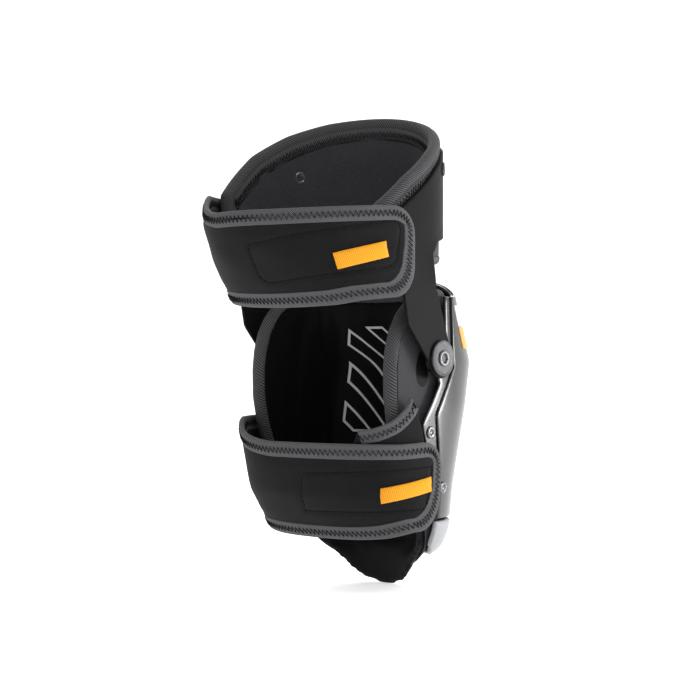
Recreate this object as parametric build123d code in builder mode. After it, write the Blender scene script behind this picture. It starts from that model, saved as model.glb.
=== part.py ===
from build123d import *
import os
from math import atan, copysign, cos, degrees, hypot, pi, sin

os.makedirs("parts", exist_ok=True)

# Hinged knee pad with a thigh support, in millimetres.
# Origin: midpoint of the knee hinge axis, which lies along X. The knee cap faces -Y, +Z is up the leg.

# ---- driving dimensions -------------------------------------------------------------------------
REACH = 130  # cutting prisms reach this far either side of the middle
OPEN_BACK = 90  # walls round the front of the leg run back to here before they are trimmed
OVERRUN = 12  # a cavity's cutter passes this far through both ends of its wall
FRONT_STEPS = 14  # flats round half a superellipse
RING_STEPS = 12  # points round a whole superellipse

CAP_POWER = 2.5  # how square the knee cap is
SHELL_WALL = 3.0
DOME_STEP = 2.0  # the dome stands this far outside the side flange

PIN_RADIUS = 4.0
PIN_CLEARANCE = 0.05
PIN_HEAD_RADIUS = 7.0
PIN_HEAD = 1.5
DISC_RADIUS = 16.0
DISC = 2.5
BUSH_RADIUS = 12.0
FLANGE_FACE = 90.0  # outer face of the flange at the pivots, from the middle plane
BUSH = 0.8
ARM_IN = 91.0
ARM_OUT = 94.3
ARM_END_RADIUS = 17.5
GAP = 0.2  # between parts that slide on each other at the pivots

COVER = 0.9
LINER = 1.4
EDGE_TAPE = 4.0
STRAP = 3.6
PATCH = 1.0
TAB = 1.4

# Outer surface of the hard cap: height, half width, depth in front of the hinge.
CAP_LEVELS = [
    (90, 92.0, 49.0),
    (55, 92.0, 67.0),
    (-3, 92.0, 101.4),
    (-43, 92.0, 90.3),
    (-114, 86.5, 70.6),
    (-146, 81.2, 73.8),
]
LIP_LEVELS = [
    (-140, 82.2, 73.4),
    (-152, 79.8, 74.6),
    (-168, 74.0, 68.4),
    (-180, 60.0, 52.0),
]
# Foam knee pad: height, outer half width, outer depth, side thickness, front thickness.
PAD_LEVELS = [
    (72, 81.4, 50.0, 13, 18),
    (55, 81.4, 60.0, 13, 20),
    (-3, 81.4, 94.9, 13, 24),
    (-43, 81.4, 83.8, 13, 24),
    (-114, 77.5, 64.1, 12, 18),
    (-150, 71.0, 60.0, 11, 14),
    (-166, 64.0, 56.0, 10, 11),
    (-178, 54.5, 46.5, 9, 9),
    (-198, 45.0, 47.5, 8, 8),
    (-213, 28.0, 48.5, 7, 7),
]
# Thigh loop, outer surface of the hard shell: half width, half depth, centre.
THIGH_HALF_WIDTH, THIGH_HALF_DEPTH, THIGH_CENTRE_Y = 94.6, 118.0, 43.0
THIGH_PAD_GAP = 3.8  # from the shell's outer face to the pad's
THIGH_FOAM = 7.0
RIM_TILT = 0.15  # the rim rises this much towards +X
# Straps, outer surface: height, half width, half depth, centre x, centre y.
THIGH_STRAP_LEVELS = [
    (150, 100.6, 111.0, 0.0, 43),
    (118, 100.6, 114.0, 0.0, 43),
    (88, 100.6, 101.0, -0.3, 41),
    (36, 98.0, 68.0, -3.2, 33),
]
SHIN_STRAP_LEVELS = [
    (-38, 96.4, 92.0, -1.2, 10),
    (-60, 96.4, 89.0, -1.2, 8),
    (-117, 93.4, 76.0, -1.2, 3),
    (-162, 86.4, 44.0, -1.2, 0),
]
SHIN_STRAP_POWER = 2.6


# ---- blanks and cutting prisms ------------------------------------------------------------------
def curve_point(angle, half_x, half_y, power):
    """Point of a superellipse about the origin; angle 0 is on +X."""
    x = copysign(abs(cos(angle)) ** (2 / power), cos(angle)) * half_x
    y = copysign(abs(sin(angle)) ** (2 / power), sin(angle)) * half_y
    return (x, y)


def cap_section(height, half_width, depth):
    """Outline at one height of the space in front of the leg, closed far behind it."""
    angles = [-pi * step / FRONT_STEPS for step in range(FRONT_STEPS + 1)]
    front = [curve_point(a, half_width, depth, CAP_POWER) for a in angles]
    with BuildSketch(Plane.XY.offset(height)) as section:
        Polygon(*front, (-half_width, OPEN_BACK), (half_width, OPEN_BACK), align=None)
    return section.sketch


def wall_between(outer, inner):
    """Wall round the front of the leg; each face is a list of height, half width and depth."""
    (top, *high), (bottom, *low) = inner[0], inner[-1]
    cavity = [(top + OVERRUN, *high), *inner, (bottom - OVERRUN, *low)]
    with BuildPart() as wall:
        loft([cap_section(*level) for level in outer], ruled=True)
        hollow = loft([cap_section(*level) for level in cavity], ruled=True, mode=Mode.PRIVATE)
        add(hollow, mode=Mode.SUBTRACT)
    return wall.part


def cap_wall(levels, outer, inner):
    """Wall between two depths below the surface that the levels give; negative stands proud."""
    return wall_between(*[[(z, w - inset, d - inset) for z, w, d in levels] for inset in (outer, inner)])


def pad_wall(outer, inner):
    """Layer of the knee pad; each function turns the pad's thickness into the depth of a face."""
    return wall_between(
        *[
            [(z, w - depth(side), d - depth(front)) for z, w, d, side, front in PAD_LEVELS]
            for depth in (outer, inner)
        ]
    )


def ring_section(height, half_x, half_y, centre_x, centre_y, power):
    """Closed superelliptic outline at one height."""
    angles = [2 * pi * step / RING_STEPS for step in range(RING_STEPS)]
    points = [curve_point(a, half_x, half_y, power) for a in angles]
    with BuildSketch(Plane.XY.offset(height)) as section:
        with BuildLine():
            Spline(*[(centre_x + x, centre_y + y) for x, y in points], periodic=True)
        make_face()
    return section.sketch


def ring_blank(levels, inset, power):
    """Solid filling a strap's loop, its outer surface moved in by inset (negative stands proud)."""
    with BuildPart() as blank:
        loft(
            [ring_section(z, a - inset, b - inset, x, y, power) for z, a, b, x, y in levels],
            ruled=True,
        )
    return blank.part


def thigh_layer(inner, outer, low=60, high=250):
    """Upright elliptic loop between two depths below the thigh shell's outer surface."""
    with BuildPart() as layer:
        with BuildSketch(Plane.XY.offset(low)):
            with Locations((0, THIGH_CENTRE_Y)):
                Ellipse(THIGH_HALF_WIDTH - outer, THIGH_HALF_DEPTH - outer)
                Ellipse(THIGH_HALF_WIDTH - inner, THIGH_HALF_DEPTH - inner, mode=Mode.SUBTRACT)
        extrude(amount=high - low)
    return layer.part


def side_prism(points, low_x, high_x, inset=0.0, radius=0.0):
    """Side-view polygon (y, z) extruded along X, moved in by inset, its corners rounded."""
    with BuildPart() as prism:
        with BuildSketch(Plane.YZ.offset(low_x)) as outline:
            Polygon(*points, align=None)
            if inset:
                offset(amount=-inset, kind=Kind.INTERSECTION)
            if radius:
                fillet(outline.vertices(), radius - inset)
        extrude(amount=high_x - low_x, dir=(1, 0, 0))
    return prism.part


# ---- side-view outlines -------------------------------------------------------------------------
PAD_REAR_EDGE = [
    (-62, -209.5),
    (-42, -201),
    (-27, -185),
    (2, -145),
    (36, -90),
    (52, -35),
    (51, 5),
    (38, 38),
    (10, 56),
]


def pad_prism(inset):
    """The knee pad's side outline, rounded at the rear, extruded across."""
    with BuildPart() as prism:
        with BuildSketch(Plane.YZ.offset(-REACH)):
            with BuildLine():
                Spline(*[(y - inset, z) for y, z in PAD_REAR_EDGE])
                Polyline(
                    (PAD_REAR_EDGE[-1][0] - inset, PAD_REAR_EDGE[-1][1]),
                    (-REACH, 66),
                    (-REACH, PAD_REAR_EDGE[0][1]),
                    (PAD_REAR_EDGE[0][0] - inset, PAD_REAR_EDGE[0][1]),
                )
            make_face()
        extrude(amount=2 * REACH, dir=(1, 0, 0))
    return prism.part


DOME_OUTLINE = [
    (-22, 54),
    (-22, 12),
    (-24, -8),
    (2, -48),
    (-6, -90),
    (-12, -142),
    (-REACH, -142),
    (-REACH, 86),
    (-62, 74),
    (-56, 70.6),
    (-41, 55.5),
]
FLANGE_OUTLINE = [
    (-13, 54),
    (-13, 8),
    (12, 8),
    (8, -12),
    (-5, -21),
    (19.5, -57),
    (13, -75),
    (7, -88),
    (-2, -115),
    (-12, -142),
    (-REACH, -142),
    (-REACH, 86),
    (-62, 74),
    (-56, 70.6),
    (-41, 55.5),
    (-22, 54),
]
ARM_OUTLINE = [
    (8, 112),
    (5.6, 58),
    (-12.5, 12),
    (17, -4),
    (47.5, 29),
    (54, 59),
    (60, 78),
    (60, 112),
]
RIM_CURVE = [(-90, 226), (-40, 208), (0, 191), (43, 168.5), (90, 134)]
SHELL_TOP_CURVE = [(-90, 208), (-40, 196), (0, 176), (46, 148), (70, 132)]
SHELL_OUTLINE = [
    (-REACH, 107),
    (-35, 107),
    (-5, 101),
    (8, 88),
    (60, 78),
    (60, 240),
    (-REACH, 240),
]
THIGH_PAD_OUTLINE = [(-REACH, 86), (-40, 84), (10, 80), (78, 80), (78, 250), (-REACH, 250)]
THIGH_STRAP_NEAR = [
    (46, 51),
    (46, 130),
    (175, 121),
    (175, 42.5),
    (106, 42.5),
    (90, 44.5),
    (75, 48),
]
THIGH_STRAP_FAR = [
    (62, 48),
    (62, 143),
    (115, 143),
    (135, 131),
    (152, 123.5),
    (175, 121),
    (175, 42.5),
    (106, 42.5),
]
THIGH_ANCHOR = [(40, 84), (40, 136), (61.4, 143), (61.4, 84)]
THIGH_WING = [(78.8, 56), (78.8, 128), (132, 122), (132, 52)]
THIGH_PATCH = [(64, 78), (64, 114), (160, 94), (160, 62)]
THIGH_TAB = [(116, 76), (116, 88), (76, 98), (76, 86)]
SHIN_STRAP_NEAR = [
    (1, -149),
    (1, -70),
    (60, -73),
    (130, -72),
    (130, -158),
    (55, -159.5),
    (25, -155),
]
SHIN_STRAP_FAR = [
    (22.5, -52),
    (-5.5, -150),
    (25, -155),
    (55, -159.5),
    (130, -158),
    (130, -72),
    (84, -69.5),
    (72, -61),
    (58, -53),
]
SHIN_ANCHOR = [(21.5, -52), (6, -56), (-2, -92), (-20, -112), (-20, -128), (-6.5, -150)]
SHIN_WING = [(24, -62), (38, -33), (58, -53), (82, -64), (82, -138), (12, -140), (16, -90)]
SHIN_PATCH = [(20, -124), (20, -88), (100, -94), (100, -132)]
SHIN_TAB = [(61, -122), (61, -110.4), (12.5, -102), (12.5, -112.4)]
TIP_RADIUS = 24


def rim_prism(curve, inset):
    """Everything below a rim curve that slopes up towards +X."""
    start = Plane(
        origin=(-REACH, 0, -RIM_TILT * REACH - inset), x_dir=(0, 1, 0), z_dir=(1, 0, 0)
    )
    with BuildPart() as prism:
        with BuildSketch(start):
            with BuildLine():
                Spline(*curve)
                Polyline(curve[-1], (curve[-1][0], 0), (curve[0][0], 0), curve[0])
            make_face()
        extrude(amount=2 * REACH * hypot(1, RIM_TILT), dir=(1, 0, RIM_TILT))
    return prism.part


# ---- hard knee shell ----------------------------------------------------------------------------
FACET_CUT = 3.5  # depth of the flat kneeling facet below the rounded front
DOME_OVERLAP = 1.0  # the dome's plate is sunk this far into the flange's
BOSS_RADIUS = 14.0  # round ear of the flange behind each pivot
SEAT_DEPTH = 4.0  # cutter for the flat seat of the backing washer
facet_top, facet_bottom = CAP_LEVELS[2], CAP_LEVELS[4]
facet_slope = (facet_top[2] - facet_bottom[2]) / (facet_top[0] - facet_bottom[0])
facet_lean = degrees(atan(facet_slope))


def facet_y(height):
    """Where the kneeling facet lies at one height."""
    return FACET_CUT - facet_top[2] + facet_slope * (facet_top[0] - height)


# Space in front of the facet, in side view; below it the shell flares out again over a short slope.
FACET_SPACE = [
    (facet_y(20), 20),
    (facet_y(-112), -112),
    (-80, -126),
    (-REACH, -126),
    (-REACH, 20),
]



def across(radius, low_x, high_x, y, z):
    """Round bar along X between two distances from the middle plane; negative is the -X side."""
    start = Plane(origin=(low_x, y, z), x_dir=(0, 1, 0), z_dir=(1, 0, 0))
    with BuildPart() as bar:
        with BuildSketch(start):
            Circle(radius)
        extrude(amount=high_x - low_x, dir=(1, 0, 0))
    return bar.part


with BuildPart() as dome:
    add(cap_wall(CAP_LEVELS, 0, DOME_STEP + DOME_OVERLAP))
    add(side_prism(DOME_OUTLINE, -REACH, REACH), mode=Mode.INTERSECT)

with BuildPart() as knee_shell:
    add(cap_wall(CAP_LEVELS, DOME_STEP, DOME_STEP + SHELL_WALL))
    add(side_prism(FLANGE_OUTLINE, -REACH, REACH), mode=Mode.INTERSECT)
    add(dome.part)
    for side in (-1, 1):
        boss = sorted((side * (FLANGE_FACE - SHELL_WALL), side * FLANGE_FACE))
        add(across(BOSS_RADIUS, *boss, 0, 0))
        seat = sorted((side * (FLANGE_FACE - SHELL_WALL - SEAT_DEPTH), side * (FLANGE_FACE - SHELL_WALL)))
        add(across(BUSH_RADIUS, *seat, 0, 0), mode=Mode.SUBTRACT)
    add(side_prism(FACET_SPACE, -REACH, REACH), mode=Mode.SUBTRACT)
    add(across(PIN_RADIUS, -REACH, REACH, 0, 0), mode=Mode.SUBTRACT)

# y, z, depth of the face below the dome, distance of the anchor's face on +X.
FLANGE_RIVETS = [(8, -64, DOME_STEP, 95.7), (-13, -113, 0, 90.6)]
FLANGE_RIVET_RADIUS = 5.5
FLANGE_SHANK_RADIUS = 2.2
RIVET_HEAD = 1.6
HEAD_GAP = 0.45  # under a flange rivet's head


def half_width_at(levels, height):
    """Half width of a blank's outer surface at one height."""
    for (z1, w1, *_), (z0, w0, *_) in zip(levels, levels[1:]):
        if z0 <= height <= z1:
            return w0 + (w1 - w0) * (height - z0) / (z1 - z0)
    raise ValueError(height)


with BuildPart() as rivet_holes:
    for rivet_y, rivet_z, *_ in FLANGE_RIVETS:
        add(across(FLANGE_SHANK_RADIUS, -REACH, REACH, rivet_y, rivet_z))

with BuildPart() as knee_shell_drilled:
    add(knee_shell.part)
    add(rivet_holes.part, mode=Mode.SUBTRACT)
knee_shell_drilled.part.label = "knee_shell"
export_step(knee_shell_drilled.part, "parts/knee_shell.step")

# ---- two-tone badge band on the upper front of the dome -----------------------------------------
BADGE = 1.0
BADGE_REAR = -34
BADGE_BANDS = {"badge_light_band": (28, 47), "badge_amber_band": (8, 27.4)}
badge_wall = cap_wall(CAP_LEVELS, -BADGE, 0)
for band_name, (band_low, band_high) in BADGE_BANDS.items():
    band_outline = [
        (BADGE_REAR, band_low),
        (BADGE_REAR, band_high),
        (-REACH, band_high),
        (-REACH, band_low),
    ]
    with BuildPart() as band:
        add(badge_wall)
        add(side_prism(band_outline, -REACH, REACH), mode=Mode.INTERSECT)
    band.part.label = band_name
    export_step(band.part, f"parts/{band_name}.step")

# ---- lower lip of the shell ---------------------------------------------------------------------
LIP_WALL = 5.0
LIP_REAR = -12
LIP_OUTLINE = [(LIP_REAR, -143), (LIP_REAR + 3, -178), (-REACH, -178), (-REACH, -143)]
with BuildPart() as shin_lip:
    add(cap_wall(LIP_LEVELS, 0, LIP_WALL))
    add(side_prism(LIP_OUTLINE, -REACH, REACH), mode=Mode.INTERSECT)
shin_lip.part.label = "shin_lip"
export_step(shin_lip.part, "parts/shin_lip.step")

# ---- soft knee pad: foam, gel, side cover, liner and edge tape ----------------------------------
GEL = 7.0
GEL_HALF_WIDTH = 46
GEL_OUTLINE = [(-30, -92), (-30, 34), (-REACH, 34), (-REACH, -92)]

gel_prism = side_prism(GEL_OUTLINE, -GEL_HALF_WIDTH, GEL_HALF_WIDTH)
pad_middle = pad_prism(EDGE_TAPE)

with BuildPart() as gel_insert:
    add(pad_wall(lambda t: t - GEL, lambda t: t))
    add(gel_prism, mode=Mode.INTERSECT)
gel_insert.part.label = "gel_insert"
export_step(gel_insert.part, "parts/gel_insert.step")

with BuildPart() as gel_pocket:
    add(pad_wall(lambda t: t - GEL, lambda t: t + GEL))
    add(gel_prism, mode=Mode.INTERSECT)

with BuildPart() as knee_foam:
    add(pad_wall(lambda t: 0, lambda t: t))
    add(pad_middle, mode=Mode.INTERSECT)
    add(gel_pocket.part, mode=Mode.SUBTRACT)
knee_foam.part.label = "knee_foam"
export_step(knee_foam.part, "parts/knee_foam.step")

with BuildPart() as knee_side_cover:
    add(pad_wall(lambda t: -COVER, lambda t: 0))
    add(pad_middle, mode=Mode.INTERSECT)
knee_side_cover.part.label = "knee_side_cover"
export_step(knee_side_cover.part, "parts/knee_side_cover.step")

with BuildPart() as knee_liner:
    add(pad_wall(lambda t: t, lambda t: t + LINER))
    add(pad_middle, mode=Mode.INTERSECT)
knee_liner.part.label = "knee_liner"
export_step(knee_liner.part, "parts/knee_liner.step")

with BuildPart() as knee_edge_tape:
    add(pad_wall(lambda t: -COVER, lambda t: t + LINER))
    add(pad_prism(0), mode=Mode.INTERSECT)
    add(pad_middle, mode=Mode.SUBTRACT)
knee_edge_tape.part.label = "knee_edge_tape"
export_step(knee_edge_tape.part, "parts/knee_edge_tape.step")

# ---- pivots, one set each side ------------------------------------------------------------------
BACKING = 1.5
disc_in = ARM_OUT + GAP
disc_out = disc_in + DISC
backing_in = FLANGE_FACE - SHELL_WALL - BACKING
for side_name, side in (("left", -1), ("right", 1)):
    pieces = {
        "pivot_bush": [(BUSH_RADIUS, FLANGE_FACE, FLANGE_FACE + BUSH)],
        "pivot_disc": [(DISC_RADIUS, disc_in, disc_out)],
        "pivot_backing_washer": [(BUSH_RADIUS - 1, backing_in, FLANGE_FACE - SHELL_WALL)],
    }
    for piece_name, bars in pieces.items():
        with BuildPart() as piece:
            for radius, near_x, far_x in bars:
                low_x, high_x = sorted((side * near_x, side * far_x))
                add(across(radius, low_x, high_x, 0, 0))
            add(across(PIN_RADIUS, -REACH, REACH, 0, 0), mode=Mode.SUBTRACT)
        piece.part.label = f"{piece_name}_{side_name}"
        export_step(piece.part, f"parts/{piece_name}_{side_name}.step")

    with BuildPart() as pivot_pin:
        shank = sorted((side * (backing_in - PIN_HEAD), side * (disc_out + PIN_HEAD)))
        outer_head = sorted((side * disc_out, side * (disc_out + PIN_HEAD)))
        inner_head = sorted((side * (backing_in - PIN_HEAD), side * backing_in))
        add(across(PIN_RADIUS, *shank, 0, 0))
        add(across(PIN_HEAD_RADIUS, *outer_head, 0, 0))
        add(across(PIN_HEAD_RADIUS, *inner_head, 0, 0))
        add(across(PIN_RADIUS / 2, -REACH, REACH, 0, 0), mode=Mode.SUBTRACT)
    pivot_pin.part.label = f"pivot_pin_{side_name}"
    export_step(pivot_pin.part, f"parts/pivot_pin_{side_name}.step")

# ---- thigh shell with its two arms --------------------------------------------------------------
THIGH_RIVETS = [(-76, 167), (84, 167), (-36, 122), (36, 122)]  # x, z on the front half
THIGH_RIVET_RADIUS = 6.2
THIGH_SHANK_RADIUS = 2.4


def on_thigh(x, z, inset):
    """Plane square to the front of the thigh shell, inset below its outer face; the normal points out."""
    y = -THIGH_HALF_DEPTH * (1 - (x / THIGH_HALF_WIDTH) ** 2) ** 0.5
    normal = (x / THIGH_HALF_WIDTH**2, y / THIGH_HALF_DEPTH**2, 0)
    face = Plane(origin=(x, THIGH_CENTRE_Y + y, z), x_dir=(0, 0, 1), z_dir=normal)
    return face.offset(-inset)


def studs(radius, inset, height):
    """Round studs at the thigh rivets, standing out by height from a depth below the shell face."""
    with BuildPart() as group:
        for stud_x, stud_z in THIGH_RIVETS:
            with BuildSketch(on_thigh(stud_x, stud_z, inset)):
                Circle(radius)
            extrude(amount=height)
    return group.part


liner_depth = THIGH_PAD_GAP + THIGH_FOAM + LINER
shank_holes = studs(THIGH_SHANK_RADIUS, liner_depth + 2, liner_depth + 8)

with BuildPart() as arms:
    for side in (-1, 1):
        low_x, high_x = sorted((side * ARM_IN, side * ARM_OUT))
        add(side_prism(ARM_OUTLINE, low_x, high_x))
        add(across(ARM_END_RADIUS, low_x, high_x, 0, 0))
    add(across(PIN_RADIUS + PIN_CLEARANCE, -REACH, REACH, 0, 0), mode=Mode.SUBTRACT)

with BuildPart() as thigh_shell:
    add(thigh_layer(SHELL_WALL, 0))
    add(side_prism(SHELL_OUTLINE, -REACH, REACH), mode=Mode.INTERSECT)
    add(rim_prism(SHELL_TOP_CURVE, 0), mode=Mode.INTERSECT)
    add(arms.part)
    add(shank_holes, mode=Mode.SUBTRACT)
thigh_shell.part.label = "thigh_shell"
export_step(thigh_shell.part, "parts/thigh_shell.step")

# ---- soft thigh pad -----------------------------------------------------------------------------
THIGH_TAPE = 10.0
foam_in = THIGH_PAD_GAP + THIGH_FOAM
thigh_pad_prism = side_prism(THIGH_PAD_OUTLINE, -REACH, REACH)

with BuildPart() as thigh_foam:
    add(thigh_layer(foam_in, THIGH_PAD_GAP))
    add(thigh_pad_prism, mode=Mode.INTERSECT)
    add(rim_prism(RIM_CURVE, THIGH_TAPE), mode=Mode.INTERSECT)
    add(shank_holes, mode=Mode.SUBTRACT)
thigh_foam.part.label = "thigh_foam"
export_step(thigh_foam.part, "parts/thigh_foam.step")

with BuildPart() as thigh_liner:
    add(thigh_layer(foam_in + LINER, foam_in))
    add(thigh_pad_prism, mode=Mode.INTERSECT)
    add(rim_prism(RIM_CURVE, THIGH_TAPE), mode=Mode.INTERSECT)
    add(shank_holes, mode=Mode.SUBTRACT)
thigh_liner.part.label = "thigh_liner"
export_step(thigh_liner.part, "parts/thigh_liner.step")

with BuildPart() as thigh_rim_roll:
    add(thigh_layer(foam_in + LINER, THIGH_PAD_GAP))
    add(thigh_pad_prism, mode=Mode.INTERSECT)
    add(rim_prism(RIM_CURVE, 0), mode=Mode.INTERSECT)
    add(rim_prism(RIM_CURVE, THIGH_TAPE), mode=Mode.SUBTRACT)
thigh_rim_roll.part.label = "thigh_rim_roll"
export_step(thigh_rim_roll.part, "parts/thigh_rim_roll.step")

with BuildPart() as thigh_rivets:
    add(studs(THIGH_RIVET_RADIUS, -0.3, RIVET_HEAD))
    add(studs(THIGH_SHANK_RADIUS, liner_depth + 0.6, liner_depth + 1.2))
thigh_rivets.part.label = "thigh_rivets"
export_step(thigh_rivets.part, "parts/thigh_rivets.step")

with BuildPart() as thigh_rivet_caps:
    add(studs(THIGH_RIVET_RADIUS, liner_depth + 0.6 + RIVET_HEAD, RIVET_HEAD))
thigh_rivet_caps.part.label = "thigh_rivet_caps"
export_step(thigh_rivet_caps.part, "parts/thigh_rivet_caps.step")


# ---- straps -------------------------------------------------------------------------------------
def strap_prism(near, far, inset):
    """Both side outlines of a strap: the far one on +X, the near one with its round tip."""
    with BuildPart() as prisms:
        add(side_prism(near, -REACH, 0, inset, TIP_RADIUS))
        add(side_prism(far, 0, REACH, inset))
    return prisms.part


def strap_solid(levels, power, prism):
    """The strap's own thickness inside a prism."""
    with BuildPart() as solid:
        add(ring_blank(levels, 0, power))
        add(prism, mode=Mode.INTERSECT)
        add(ring_blank(levels, STRAP, power), mode=Mode.SUBTRACT)
    return solid.part


def cut_layer(levels, power, outer, inner, outline, side):
    """Piece of a strap layer inside a side-view outline on one side of the leg."""
    low_x, high_x = (-REACH, 0) if side < 0 else (0, REACH)
    with BuildPart() as piece:
        add(ring_blank(levels, outer, power))
        add(side_prism(outline, low_x, high_x), mode=Mode.INTERSECT)
        add(ring_blank(levels, inner, power), mode=Mode.SUBTRACT)
    return piece.part


STRAPS = {
    "thigh": {
        "levels": THIGH_STRAP_LEVELS,
        "power": 2.0,
        "near": THIGH_STRAP_NEAR,
        "far": THIGH_STRAP_FAR,
        "anchor": THIGH_ANCHOR,
        "wing": THIGH_WING,
        "patch": THIGH_PATCH,
        "tab": THIGH_TAB,
    },
    "shin": {
        "levels": SHIN_STRAP_LEVELS,
        "power": SHIN_STRAP_POWER,
        "near": SHIN_STRAP_NEAR,
        "far": SHIN_STRAP_FAR,
        "anchor": SHIN_ANCHOR,
        "wing": SHIN_WING,
        "patch": SHIN_PATCH,
        "tab": SHIN_TAB,
    },
}
STRAP_TAPE = 6.0
WING_OUT = STRAP + PATCH + 0.3
WING = 2.6

for strap_name, strap in STRAPS.items():
    levels, power = strap["levels"], strap["power"]
    middle_prism = strap_prism(strap["near"], strap["far"], STRAP_TAPE)
    with BuildPart() as edge_prism:
        add(strap_prism(strap["near"], strap["far"], 0))
        add(middle_prism, mode=Mode.SUBTRACT)
    anchor = cut_layer(levels, power, 0, STRAP, strap["anchor"], 1) - rivet_holes.part
    solids = {
        "strap": strap_solid(levels, power, middle_prism),
        "strap_edge_tape": strap_solid(levels, power, edge_prism.part),
        "strap_anchor": anchor,
        "wing": cut_layer(levels, power, WING_OUT, WING_OUT + WING, strap["wing"], -1),
        "hook_patch": cut_layer(levels, power, STRAP, STRAP + PATCH, strap["patch"], -1),
        "pull_tab": cut_layer(levels, power, -TAB, 0, strap["tab"], -1),
    }
    for piece_name, solid in solids.items():
        solid.label = f"{strap_name}_{piece_name}"
        export_step(solid, f"parts/{strap_name}_{piece_name}.step")

# ---- flange rivets, with their backing washers --------------------------------------------------
with BuildPart() as flange_rivets:
    for rivet_y, rivet_z, face_depth, anchor_face in FLANGE_RIVETS:
        face = half_width_at(CAP_LEVELS, rivet_z)
        inner_face = face - DOME_STEP - SHELL_WALL
        for side in (-1, 1):
            over = face - face_depth if side < 0 else anchor_face
            shank = sorted((side * (inner_face - 0.8), side * (over + 1.0)))
            head = sorted((side * (over + HEAD_GAP), side * (over + HEAD_GAP + RIVET_HEAD)))
            add(across(FLANGE_SHANK_RADIUS, *shank, rivet_y, rivet_z))
            add(across(FLANGE_RIVET_RADIUS, *head, rivet_y, rivet_z))
flange_rivets.part.label = "flange_rivets"
export_step(flange_rivets.part, "parts/flange_rivets.step")

for name, built in (("knee_shell", knee_shell_drilled), ("thigh_shell", thigh_shell)):
    print(name, len(built.part.solids()), "solids", built.part.bounding_box().size)
print("kneeling facet leans", round(facet_lean, 2), "degrees; slope", round(facet_slope, 4))
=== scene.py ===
from math import cos, pi, radians, sin

import bpy
import numpy as np
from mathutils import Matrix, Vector
from mathutils.kdtree import KDTree


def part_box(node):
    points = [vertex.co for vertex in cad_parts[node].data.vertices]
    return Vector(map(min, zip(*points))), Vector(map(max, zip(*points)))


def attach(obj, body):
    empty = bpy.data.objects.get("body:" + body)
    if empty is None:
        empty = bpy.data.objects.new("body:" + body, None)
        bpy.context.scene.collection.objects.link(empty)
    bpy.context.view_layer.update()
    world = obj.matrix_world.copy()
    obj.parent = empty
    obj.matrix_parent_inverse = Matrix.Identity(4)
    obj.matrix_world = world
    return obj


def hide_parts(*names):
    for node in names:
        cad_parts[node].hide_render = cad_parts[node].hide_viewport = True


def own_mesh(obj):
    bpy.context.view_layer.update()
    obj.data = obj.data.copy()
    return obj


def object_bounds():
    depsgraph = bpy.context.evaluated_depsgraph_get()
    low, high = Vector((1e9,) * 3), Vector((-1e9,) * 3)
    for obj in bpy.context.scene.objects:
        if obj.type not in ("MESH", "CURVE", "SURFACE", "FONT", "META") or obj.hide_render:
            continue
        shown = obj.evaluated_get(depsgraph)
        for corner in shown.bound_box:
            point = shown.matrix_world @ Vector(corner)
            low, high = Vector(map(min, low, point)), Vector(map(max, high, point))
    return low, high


# Hinged knee pad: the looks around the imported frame. Metres, the frame's own axes: hinge along X,
# the knee cap faces -Y, +Z is up. The near side, where both straps close, is -X.
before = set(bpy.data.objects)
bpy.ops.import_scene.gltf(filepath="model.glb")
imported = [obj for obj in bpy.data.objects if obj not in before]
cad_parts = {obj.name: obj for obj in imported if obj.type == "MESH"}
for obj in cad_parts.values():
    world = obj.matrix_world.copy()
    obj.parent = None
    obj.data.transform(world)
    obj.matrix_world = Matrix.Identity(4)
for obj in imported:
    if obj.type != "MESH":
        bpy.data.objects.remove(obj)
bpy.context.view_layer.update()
MM = 0.001


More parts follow.
